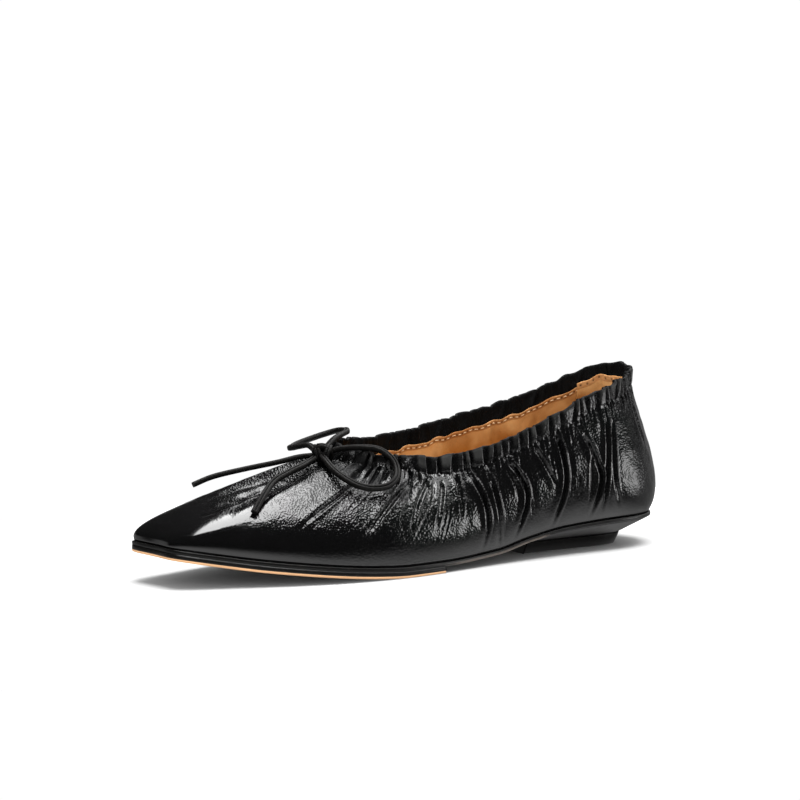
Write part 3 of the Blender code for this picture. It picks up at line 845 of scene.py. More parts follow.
    def creases(self):
        """The main creases and the small ones between them, on both sides; the inner side's main
        creases are the outer side's, a little moved."""
        draw = np.random.default_rng(MINOR_SEED)
        total = np.zeros(self.base.shape[:2])
        for number, crease in enumerate(CREASES):
            total += self.crease(crease, 1.0)
            points = np.array(crease.points)
            points[:, 0] = 2.0 - points[:, 0] - INNER_MOVE * np.sin(INNER_RATE * number)
            total += self.crease(crease._replace(points=points), -1.0)
        for side in (1.0, -1.0):
            for number in range(MINOR_COUNT):
                place, top, fall, depth, width, sway = draw.random(6)
                start = between(MINOR_SPAN, (number + place) / MINOR_COUNT)
                high = between(MINOR_TOP, top)
                drop = between(MINOR_FALL, fall)
                drift = np.interp(start, MINOR_DRIFT_PLACES, MINOR_DRIFT) * drop
                middle = start + 0.5 * drift + MINOR_SWAY * (sway - 0.5)
                route = ((start, high), (middle, high - 0.5 * drop), (start + drift, high - drop))
                points = np.array(route)
                if side < 0.0:
                    points[:, 0] = 2.0 - points[:, 0]
                crease = Crease("minor", points, between(MINOR_DEPTH, depth), between(MINOR_WIDTH, width))
                total += self.crease(crease, side)
        return total

    def crease(self, crease, side):
        """One trough between a broad roll on its toe side and a narrow one on its heel side, fading
        at both ends."""
        route = smooth_route(np.array(crease.points), 1.0 / ROUTE_POINTS)
        places = route[:, 0] * self.last.half
        line = self.last.wall(places, route[:, 1]) + SHIFT
        run = unit(np.gradient(line, axis=0))
        across = square_to(run, self.last.wall(places + READ_STEP, route[:, 1]) + SHIFT - line)
        width = crease.width * MM
        reach = CREASE_REACH * width
        inside = (self.base > line.min(axis=0) - reach) & (self.base < line.max(axis=0) + reach)
        picked = np.nonzero(inside.all(axis=2))
        offsets = self.base[picked][:, None, :] - line
        closest = (offsets**2).sum(axis=2).argmin(axis=1)
        offset = offsets[np.arange(len(closest)), closest] / width
        aside = side * (offset * across[closest]).sum(axis=1)
        along = (offset * run[closest]).sum(axis=1)
        passed = closest / (len(line) - 1)
        ends = smoothstep(0.0, CREASE_FADE[0], passed) * smoothstep(0.0, CREASE_FADE[1], 1.0 - passed)
        humps = sum(hump.height * bell(aside - hump.place, hump.reach) for hump in CREASE_HUMPS)
        result = np.zeros(self.base.shape[:2])
        result[picked] = crease.depth * MM * ends * humps * bell(along, CREASE_ENDS)
        return result

    def crinkle(self):
        """Fine soft creasing, of many waves in all directions, in units of its height."""
        draw = np.random.default_rng(CRINKLE_SEED)
        total = np.zeros(self.base.shape[:2])
        for _ in range(CRINKLE_WAVES):
            wavelength = between(CRINKLE_LENGTHS, draw.random())
            direction = unit(draw.normal(size=3))
            phase = self.base @ (direction * TURN / wavelength) + TURN * draw.random()
            total += np.sin(phase) * wavelength / CRINKLE_LENGTHS[1]
        return CRINKLE_GAIN * total / np.sqrt(CRINKLE_WAVES)

    def level(self, above):
        """Heights at which each column's arc reaches the given lengths above the gathered line."""
        return np.array([np.interp(*pair, self.heights) for pair in zip(above, self.above)])

    def arc(self, rows):
        """Lengths above the gathered line at the given heights of each column."""
        return np.array([np.interp(row, self.heights, above) for row, above in zip(rows, self.above)])

    def sample(self, heights, inner=False):
        """Points, normals and push at the given heights of each column."""
        place = np.interp(heights, self.heights, np.arange(len(self.heights)))
        lower = np.clip(place.astype(int), 0, len(self.heights) - 2)
        share = (place - lower)[..., None]
        column = np.arange(COLUMNS)[:, None]

        def read(field):
            return field[column, lower] * (1.0 - share) + field[column, lower + 1] * share

        push = self.inner_push if inner else self.push
        return read(self.base), unit(read(self.normal)), read(push[..., None])


Shaping = namedtuple("Shaping", "pleat_pitch pleat_depth crinkle")


@lru_cache(maxsize=1)
def shaped_skin(shaping):
    """The upper's skin for one set of sizes, worked out once."""
    return Skin(shaping)


def skin_for(sizes):
    """The upper's skin for the scene's sizes."""
    return shaped_skin(Shaping(sizes.pleat_pitch, sizes.pleat_depth, sizes.crinkle))


def select_only(piece):
    """Leave one object selected and active."""
    bpy.ops.object.select_all(action="DESELECT")
    piece.select_set(True)
    bpy.context.view_layer.objects.active = piece


def read_points(piece):
    """Vertex coordinates as an array."""
    points = np.empty(len(piece.data.vertices) * 3)
    piece.data.vertices.foreach_get("co", points)
    return points.reshape(-1, 3)


def write_points(piece, points):
    """Set the vertex coordinates."""
    piece.data.vertices.foreach_set("co", np.ascontiguousarray(points, dtype=np.float32).ravel())
    piece.data.update()


def set_attribute(piece, name, values):
    """Store one number for each vertex."""
    layer = piece.data.attributes.new(name, "FLOAT", "POINT")
    layer.data.foreach_set("value", np.ascontiguousarray(values, dtype=np.float32).ravel())


def name_active(name):
    """Name the active object and its mesh."""
    piece = bpy.context.object
    piece.name = name
    piece.data.name = name
    return piece


def add_form(name, add, **settings):
    """Add a primitive and name it."""
    bpy.ops.object.select_all(action="DESELECT")
    add(**settings)
    return name_active(name)


@contextmanager
def editing():
    """Edit the whole of the active mesh."""
    bpy.ops.object.mode_set(mode="EDIT")
    bpy.ops.mesh.select_all(action="SELECT")
    yield
    bpy.ops.object.mode_set(mode="OBJECT")


def close_piece(piece):
    """Merge the points that meet, turn the faces outwards and shade them smooth."""
    select_only(piece)
    with editing():
        bpy.ops.mesh.remove_doubles(threshold=MERGE)
        bpy.ops.mesh.normals_make_consistent(inside=False)
    bpy.ops.object.shade_smooth()


def join_into(piece, others):
    """Make one object of several, under the first one's name."""
    select_only(piece)
    for other in others:
        other.select_set(True)
    bpy.ops.object.join()


def attach(piece, material, slot, *nodes):
    """Give a piece its finish and its place on the shoe."""
    piece.data.materials.clear()
    piece.data.materials.append(material)
    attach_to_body(piece, BODY)
    if nodes:
        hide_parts(*nodes)


def grid_piece(name, points, fields, closed):
    """Sheet over columns and rows of points, closed round both of them or open round both; fields
    are numbers for each point."""
    counts = np.array(points.shape[:2])
    spans = counts if closed else counts - 1
    divisions = {"x_subdivisions": int(spans[0]), "y_subdivisions": int(spans[1])}
    piece = add_form(name, bpy.ops.mesh.primitive_grid_add, size=1.0, **divisions)
    flat = read_points(piece)[:, :2] + 0.5
    column, row = (np.round(flat * spans).astype(int) % counts).T
    write_points(piece, points[column, row])
    for field, values in fields.items():
        set_attribute(piece, field, values[column, row])
    return piece


def ring_piece(name, rings):
    """Closed solid over rings of points, from the middle of its underside to the middle of its top,
    and the ring of each of its points."""
    poles = [np.broadcast_to(ring.mean(axis=0), (1, *ring.shape)) for ring in (rings[0], rings[-1])]
    stack = np.concatenate([poles[0], rings, poles[1]])
    count, columns = len(stack) - 1, stack.shape[1]
    piece = add_form(name, bpy.ops.mesh.primitive_uv_sphere_add, segments=columns, ring_count=count)
    ball = read_points(piece)
    column = np.round(np.arctan2(ball[:, 1], ball[:, 0]) / TURN * columns).astype(int) % columns
    row = np.round((np.arcsin(np.clip(ball[:, 2], -1.0, 1.0)) / np.pi + 0.5) * count).astype(int)
    write_points(piece, stack[row, column])
    return piece, row


def face_rows(piece, row):
    """Lowest row that each face touches."""
    corners = np.empty(len(piece.data.loops), dtype=int)
    piece.data.loops.foreach_get("vertex_index", corners)
    starts = np.empty(len(piece.data.polygons), dtype=int)
    piece.data.polygons.foreach_get("loop_start", starts)
    return np.minimum.reduceat(row[corners], starts)


class Socket:
    """An output in a node tree. Arithmetic on it adds Math nodes."""

    def __init__(self, finish, socket):
        self.finish = finish
        self.socket = socket

    def maths(self, operation, left, right):
        return self.finish.node("ShaderNodeMath", {"operation": operation}, {0: left, 1: right})

    def __add__(self, other):
        return self.maths("ADD", self, other)

    def __radd__(self, other):
        return self.maths("ADD", other, self)

    def __sub__(self, other):
        return self.maths("SUBTRACT", self, other)

    def __rsub__(self, other):
        return self.maths("SUBTRACT", other, self)

    def __mul__(self, other):
        return self.maths("MULTIPLY", self, other)

    def __rmul__(self, other):
        return self.maths("MULTIPLY", other, self)

    def __truediv__(self, other):
        return self.maths("DIVIDE", self, other)

    def __rtruediv__(self, other):
        return self.maths("DIVIDE", other, self)


class Finish:
    """A node tree under construction."""

    def __init__(self, tree):
        self.tree = tree

    def node(self, kind, settings=None, inputs=None, output=0):
        """Add a node: its settings first, then the values or links of its sockets."""
        made = self.tree.nodes.new(kind)
        for key, value in (settings or {}).items():
            setattr(made, key, value)
        for key, value in (inputs or {}).items():
            self.feed(made.inputs[key], value)
        return Socket(self, made.outputs[output])

    def feed(self, socket, value):
        """Link a socket, or set its value."""
        if isinstance(value, Socket):
            self.tree.links.new(value.socket, socket)
        else:
            socket.default_value = value

    def place(self):
        """Object coordinates."""
        return self.node("ShaderNodeTexCoord", output="Object")

    def attribute(self, name):
        """One of the piece's own numbers."""
        return self.node("ShaderNodeAttribute", {"attribute_name": name}, output="Fac")

    def noise(self, vector, scale, detail, roughness=0.5):
        """Soft noise between 0 and 1."""
        values = {"Vector": vector, "Scale": scale, "Detail": detail, "Roughness": roughness}
        return self.node("ShaderNodeTexNoise", None, values)

    def step(self, value, low, high):
        """Rise smoothly from 0 at low to 1 at high."""
        values = {"Value": value, "From Min": low, "From Max": high}
        return self.node("ShaderNodeMapRange", {"interpolation_type": "SMOOTHSTEP"}, values)

    def mix(self, factor, first, second):
        """Blend two colours."""
        values = {0: factor, MIX_A: first, MIX_B: second}
        return self.node("ShaderNodeMix", {"data_type": "RGBA"}, values, MIX_COLOUR)

    def dress(self, inputs, colour, roughness, height, relief):
        """Feed a Principled shader its colour, its roughness, and a bump of height times relief."""
        values = {"Height": height, "Distance": relief, "Strength": 1.0}
        self.feed(inputs["Base Color"], colour)
        self.feed(inputs["Roughness"], roughness)
        self.feed(inputs["Normal"], self.node("ShaderNodeBump", None, values))


def rgba(colour, strength=1.0):
    """A colour, paler or deeper by a strength, with its alpha."""
    return (*(min(part * strength, 1.0) for part in colour), 1.0)


def new_finish(name, fixed):
    """Material with a Principled shader whose unchanging sockets are set."""
    material = bpy.data.materials.new(name)
    material.use_nodes = True
    finish = Finish(material.node_tree)
    shader = material.node_tree.nodes["Principled BSDF"]
    for key, value in fixed.items():
        shader.inputs[key].default_value = value
    return material, finish, shader.inputs


def patent_leather(colours):
    """Black crinkled patent: fine creases drawn across the foot, smooth and coated at the toe."""
    fixed = {"Coat Roughness": 0.03, "Coat IOR": 1.45, "IOR": 1.5}
    material, finish, inputs = new_finish("patent_leather", fixed)
    place = finish.place()
    grain = finish.attribute("grain")
    drawn = finish.node(
        "ShaderNodeMapping",
        {"vector_type": "TEXTURE"},
        {"Vector": place, "Rotation": (0.0, 0.0, GRAIN_TURN), "Scale": (GRAIN_STRETCH, 1.0, 1.0)},
    )
    values = {"Vector": drawn, "Scale": GRAIN_SCALE}
    cells = finish.node("ShaderNodeTexVoronoi", {"feature": "SMOOTH_F1"}, values)
    broad = finish.noise(place, BROAD_SCALE, 2.0)
    dust = finish.noise(place, DUST_SCALE, 4.0)
    colour = finish.mix(dust, rgba(colours.patent, 0.6), rgba(colours.patent))
    roughness = 0.10 + 0.05 * grain + 0.04 * dust
    finish.dress(inputs, colour, roughness, (cells + broad * 0.8) * grain, GRAIN_RELIEF)
    finish.feed(inputs["Coat Weight"], 0.6 - 0.6 * grain)
    # Painted sheen: the frill's dull bands get a grey colour on the lit flats of its pleats
    shown = finish.attribute("band") * (0.4 + 0.9 * finish.noise(place, BAND_SCALE, 3.0))
    flat = finish.mix(shown, rgba(colours.patent), rgba(colours.frill))
    values = {"Base Color": flat, "Roughness": 0.55, "Specular IOR Level": 0.08}
    dull = finish.node("ShaderNodeBsdfPrincipled", None, values)
    glossy = Socket(finish, material.node_tree.nodes["Principled BSDF"].outputs[0])
    blend = finish.node("ShaderNodeMixShader", None, {0: finish.attribute("matt"), 1: glossy, 2: dull})
    finish.feed(material.node_tree.nodes["Material Output"].inputs["Surface"], blend)
    return material


def lining_leather(colours, name, pale, sheen_clouding):
    """Tan leather: satin, with pale and dark cloud patches as a painted sheen, a painted shade that
    deepens towards the sole, a darker hem, and needle holes painted dark as shade.
    """
    fixed = {"Coat Roughness": 0.35, "Coat Weight": 0.15, "IOR": 1.45}
    material, finish, inputs = new_finish(name, fixed)
    place = finish.place()
    hole = finish.attribute("hole")
    cloud = finish.noise(place, CLOUD_SCALE, 3.0)
    pores = finish.noise(place, PORE_SCALE, 2.0)
    folds = finish.noise(place, FOLD_SCALE, 3.0)
    # Painted sheen and shade: cloud patches pale or deepen the tan, and it deepens further below the hem
    shade = sheen_clouding * finish.step(cloud, 0.38, 0.62) + 0.35 * finish.attribute("depth")
    colour = finish.mix(shade, rgba(pale), rgba(colours.lining_dark))
    colour = finish.mix(pores * 0.2, colour, rgba(colours.lining_dark))
    colour = finish.mix(finish.attribute("hem") * 0.6, colour, rgba(colours.hem))
    # Painted shade: the needle holes are painted near black
    colour = finish.mix(hole, colour, rgba(colours.hem, 0.04))
    height = pores * 0.5 + folds * 5.0 - hole * 3.0
    finish.dress(inputs, colour, 0.34 + 0.18 * pores, height, LINING_RELIEF)
    return material


def sole_edge(colours, name, gloss):
    """Satin black edge finish with fine scuffing, and a paler painted highlight along the waist's lower
    edge.
    """
    fixed = {"Specular IOR Level": gloss, "IOR": 1.5}
    material, finish, inputs = new_finish(name, fixed)
    worn = finish.noise(finish.place(), WEAR_SCALE, 4.0, 0.65)
    colour = finish.mix(finish.step(worn, 0.55, 0.80), rgba(colours.edge), rgba(colours.edge, 3.0))
    # Painted highlight on the waist's lower edge, broken up by the scuffing
    edge_highlight = finish.attribute("edge_highlight") * finish.step(worn, 0.20, 0.50)
    colour = finish.mix(edge_highlight, colour, rgba(colours.edge_highlight))
    finish.dress(inputs, colour, 0.26 + 0.16 * worn, worn, EDGE_RELIEF)
    return material


def natural_sole(colours):
    """Natural tan layer of the half sole, with a fine fibre grain."""
    material, finish, inputs = new_finish("natural_sole", {"IOR": 1.45})
    place = finish.place()
    stretched = finish.node("ShaderNodeMapping", None, {"Vector": place, "Scale": (1.0, 0.25, 1.0)})
    fibre = finish.noise(stretched, FIBRE_SCALE, 4.0, 0.6)
    cloud = finish.noise(place, SOLE_CLOUD_SCALE, 3.0)
    deep = rgba(colours.natural, 0.72)
    colour = finish.mix(cloud, deep, rgba(colours.natural, 1.25))
    colour = finish.mix(fibre * 0.3, colour, deep)
    finish.dress(inputs, colour, 0.48 + 0.20 * fibre, fibre, FIBRE_RELIEF)
    return material


def lace_leather(colours):
    """Dark grooved lace with pale worn lines along it."""
    fixed = {"Specular IOR Level": 0.12, "IOR": 1.5}
    material, finish, inputs = new_finish("lace_leather", fixed)
    fibre = finish.noise(finish.place(), LACE_SCALE, 3.0, 0.6)
    worn = finish.attribute("line") * finish.step(fibre, 0.25, 0.65)
    colour = finish.mix(worn, rgba(colours.lace), rgba(colours.lace_line))
    finish.dress(inputs, colour, 0.38 + 0.22 * fibre, fibre, FIBRE_RELIEF)
    return material


def stitch_thread(colours):
    """Waxed thread of the lining's stitches, painted darker in the twist's grooves as shade."""
    material, finish, inputs = new_finish("stitch_thread", {"IOR": 1.45})
    values = {"Vector": finish.place(), "Scale": TWIST_SCALE}
    twist = finish.node("ShaderNodeTexWave", {"bands_direction": "DIAGONAL"}, values, "Fac")
    # Painted shade: the twist's grooves, where its bump is lowest, are darker
    colour = finish.mix(twist, rgba(colours.thread, 0.55), rgba(colours.thread))
    finish.dress(inputs, colour, 0.45 + 0.15 * twist, twist, THREAD_RELIEF)
    return material


def studio_floor(colours):
    """Pale matt floor."""
    material, finish, inputs = new_finish("studio_floor", {"Specular IOR Level": 0.0})
    speck = finish.noise(finish.place(), SPECK_SCALE, 3.0)
    colour = finish.mix(speck, rgba(colours.floor, 0.985), rgba(colours.floor))
    finish.feed(inputs["Base Color"], colour)
    finish.feed(inputs["Roughness"], 0.85 + 0.05 * speck)
    return material


def on_scene():
    """The scene's sizes and colours."""
    scene = bpy.context.scene
    return scene.shoe_sizes, scene.shoe_colours


class SHOE_OT_stage(bpy.types.Operator):
    """Put the floor, the studio light and the camera round the shoe"""

    bl_idname = "shoe.stage"
    bl_label = "Stage"

    def execute(self, context):
        self.add_camera(context.scene)
        self.add_floor()
        self.add_softbox(context.scene)
        self.add_studio(context.scene)
        context.scene.view_settings.view_transform = "Standard"
        return {"FINISHED"}

    def add_camera(self, scene):
        """Camera at the photograph's viewing angle."""
        elevation = np.radians(CAMERA_ELEVATION)
        back = np.cos(elevation) * heading(CAMERA_AZIMUTH) + (0.0, 0.0, np.sin(elevation))
        data = bpy.data.cameras.new("camera")
        data.lens = LENS
        data.sensor_width = SENSOR_WIDTH
        data.clip_start = CLIP_START
        camera = bpy.data.objects.new("camera", data)
        camera.location = CAMERA_TARGET + CAMERA_DISTANCE * back
        camera.rotation_euler = (np.radians(90.0 - LOOK_ELEVATION), 0.0, np.radians(LOOK_AZIMUTH))
        scene.collection.objects.link(camera)
        scene.camera = camera

    def add_floor(self):
        """Rounded sheet that the shoe stands on."""
        floor = add_form("floor", bpy.ops.mesh.primitive_circle_add, **FLOOR_FORM)
        with editing():
            bpy.ops.transform.resize(value=(*FLOOR_REACH, 1.0))
        floor.data.materials.append(studio_floor(on_scene()[1]))
        floor.visible_glossy = False

    def add_softbox(self, scene):
        """A large soft light overhead."""
        light = bpy.data.lights.new("softbox", "AREA")
        light.shape = "RECTANGLE"
        light.size = SOFTBOX_SIZE[0]
        light.size_y = SOFTBOX_SIZE[1]
        light.energy = SOFTBOX_POWER
        softbox = bpy.data.objects.new("softbox", light)
        softbox.location = SOFTBOX_PLACE
        softbox.visible_glossy = False
        scene.collection.objects.link(softbox)

    def add_studio(self, scene):
        """A studio that is pale behind the shoe and dark before it, with lights that the gloss shows."""
        world = bpy.data.worlds.new("studio")
        scene.world = world
        world.use_nodes = True
        finish = Finish(world.node_tree)
        direction = finish.node("ShaderNodeTexCoord", output="Generated")
        split = finish.node("ShaderNodeSeparateXYZ", None, {"Vector": direction}).socket.node
        east, north, height = (Socket(finish, split.outputs[axis]) for axis in "XYZ")

        def facing(way):
            parts = [float(part) for part in way]
            return east * parts[0] + north * parts[1] + height * parts[2]

        def patch(way, reach):
            return finish.step(facing(way), *np.cos(np.radians(reach)))

        def ray(kind):
            return finish.node("ShaderNodeLightPath", output=f"Is {kind} Ray")

        wall = WALL_LIGHT * finish.step(facing(-heading(CAMERA_AZIMUTH)), *WALL_SIDE)
        wall = wall * (1.0 - finish.step(height, *WALL_TOP))
        ground = GROUND_LIGHT * finish.step(0.0 - height, *GROUND_DEPTH)
        panel = PANEL_LIGHT * patch(unit(np.array(PANEL_DIRECTION)), PANEL_REACH)
        strip = STRIP_LIGHT * patch(heading(STRIP_AZIMUTH), STRIP_REACH)
        strip = strip * (1.0 - finish.step(height, *STRIP_TOP))
        level = height.maths("MAXIMUM", height, OVERHEAD_RISE[0])
        aside = east / level
        along = north / level
        overhead = finish.step(aside * OVERHEAD_TURN[0] + along * OVERHEAD_TURN[1], *OVERHEAD_FAR)
        overhead = overhead * (1.0 - finish.step(aside, *OVERHEAD_NEAR))
        overhead = overhead * finish.step(height, *OVERHEAD_RISE)
        overhead = overhead * (1.0 - OVERHEAD_FALL * finish.step(along, *OVERHEAD_DIM))
        overhead = OVERHEAD_LIGHT * overhead * ray("Glossy")
        pale = wall
        for light in (ground, panel, strip, overhead, ray("Camera")):
            pale = pale.maths("MAXIMUM", pale, light)
        background = world.node_tree.nodes["Background"]
        finish.feed(background.inputs["Color"], WHITE)
        finish.feed(background.inputs["Strength"], ROOM_LIGHT + pale + ray("Diffuse") * FILL_LIGHT)


def sweep(name, route, up, section, closed):
    """Lace along a route, its section carried along, with flat ends unless the route closes."""
    if closed:
        run = unit(np.roll(route, -1, axis=0) - np.roll(route, 1, axis=0))
    else:
        run = unit(np.gradient(route, axis=0))
    side = unit(np.cross(run, up))
    top = np.cross(side, run)
    rings = route[:, None] + side[:, None] * section[:, :1] + top[:, None] * section[:, 1:]
    count, corners = rings.shape[:2]
    index = np.arange(count * corners).reshape(count, corners)
    ahead = np.roll(index, -1, axis=0)
    quads = np.stack([index, ahead, np.roll(ahead, -1, axis=1), np.roll(index, -1, axis=1)], axis=-1)
    stops = count if closed else count - 1
    faces = quads[:stops].reshape(-1, 4).tolist()
    if not closed:
        faces.append(index[0].tolist())
        faces.append(index[-1][::-1].tolist())
    mesh = bpy.data.meshes.new(name)
    mesh.from_pydata(rings.reshape(-1, 3).tolist(), [], faces)
    piece = bpy.data.objects.new(name, mesh)
    bpy.context.scene.collection.objects.link(piece)
    set_attribute(piece, "line", np.tile(LACE_LINES, (count, 1)))
    close_piece(piece)
    bpy.ops.object.shade_smooth_by_angle(angle=LACE_SHARP)
    return piece


class SHOE_OT_bow(bpy.types.Operator):
    """Tie the bow: two loops, two tails and the knot, of flat grooved lace"""

    bl_idname = "shoe.bow"
    bl_label = "Bow"

    def execute(self, context):
        sizes, colours = on_scene()
        leather = lace_leather(colours)
        section = np.array(LACE_SECTION) * (sizes.lace_width / 2.0, sizes.lace_thickness / 2.0)
        knot = np.array(KNOT_CENTRE) * MM + SHIFT
        knot_piece = self.add_knot(knot, section)
        attach(knot_piece, leather, "patent_leather", "bow_knot")
        for strand in STRANDS:
            points = np.array(strand.points) * MM + SHIFT
            route = np.vstack([knot + KNOT_REACH * unit(points[0] - knot), points])
            if strand.returns:
                route = np.vstack([route, knot + KNOT_REACH * unit(points[-1] - knot)])
            route = smooth_route(route, LACE_STEP)
            up = unit(route * (1.0, 0.0, 1.0) - (0.0, 0.0, VAMP_AXIS_HEIGHT))
            piece = sweep(strand.name, route, up, section, False)
            attach(piece, leather, "patent_leather", strand.name)
        return {"FINISHED"}

    def add_knot(self, knot, section):
        """Turns of lace round a core."""
        wraps = []
        angle = np.linspace(0.0, TURN, KNOT_STEPS, endpoint=False)[:, None]
        for number, wrap in enumerate(KNOT_WRAPS):
            ring = (np.cos(angle) * np.array(wrap.first) + np.sin(angle) * np.array(wrap.second)) * MM
            route = knot + np.array(wrap.centre) * MM + ring
            wraps.append(sweep(f"wrap_{number}", route, unit(ring), section, True))
        core = add_form("knot_core", bpy.ops.mesh.primitive_uv_sphere_add, **KNOT_FORM)
        centre = knot + np.array(KNOT_CORE_CENTRE) * MM
        write_points(core, centre + read_points(core) * np.array(KNOT_CORE_HALVES) * MM)
        close_piece(core)
        join_into(core, wraps)
        return name_active("bow_knot")


class SHOE_OT_upper(bpy.types.Operator):
    """Draw the gathered patent upper with its creases and its turned-over frill"""

    bl_idname = "shoe.upper"
    bl_label = "Upper"

    def execute(self, context):
        sizes, colours = on_scene()
        skin = skin_for(sizes)
        radius = sizes.frill / 2.0
        top = 2.0 - radius / FRILL_HEIGHT
        stretch = EDGE_WANDER * skin.edge_wave[:, None]
        outer_heights = np.append(skin.heights[: BODY_ROWS + 1], np.linspace(1.0, top, FRILL_ROWS)[1:])
        frill_heights = np.linspace(top, 1.0, INNER_FRILL_ROWS)
        wall_heights = np.linspace(1.0, 0.0, INNER_WALL_ROWS)[1:]

        def row_points(heights, inset, inner=False):
            rows = np.broadcast_to(heights, (COLUMNS, len(heights)))
            base, normal, push = skin.sample(rows, inner)
            lift = np.clip(rows - 1.0, 0.0, 1.0) ** EDGE_POWER * stretch
            return base + normal * (push - inset) + skin.frill_up[:, None] * lift[..., None]

        outer = row_points(outer_heights, 0.0)
        outer[:, 0, 2] -= TUCK
        base, normal, push = skin.sample(np.full((COLUMNS, 1), top))
        lift = (top - 1.0) ** EDGE_POWER * stretch[..., None]
        over = base + normal * (push - radius + radius * np.cos(TURN_OVER))
        over = over + skin.frill_up[:, None] * (lift + radius * np.sin(TURN_OVER))
        inner_frill = row_points(frill_heights, sizes.frill)
        thickness = np.interp(wall_heights, SHELL_BLEND, (sizes.leather, sizes.frill))
        inner_wall = row_points(wall_heights, thickness[:, None], True)
        inner_wall[:, -1, 2] -= TUCK
        points = np.concatenate([outer, over, inner_frill, inner_wall], axis=1)

        def marks(values, inside):
            field = np.full(points.shape[:2], inside)
            field[:, : len(outer_heights)] = values
            return field

        row = np.interp(outer_heights, skin.heights, np.arange(len(skin.heights))).astype(int)
        band = marks(skin.band[:, row], INSIDE_BAND)
        frill_matt = smoothstep(top - FRILL_MATT, top, outer_heights)
        matt = marks(np.maximum(frill_matt, skin.dull[:, row]), 1.0)
        matt = np.maximum(matt, BAND_MATT * np.sqrt(band))
        fields = {"grain": marks(skin.grain[:, row], 1.0), "matt": matt, "band": band}
        piece = grid_piece("upper", points, fields, True)
        close_piece(piece)
        attach(piece, patent_leather(colours), "patent_leather", "upper")
        return {"FINISHED"}


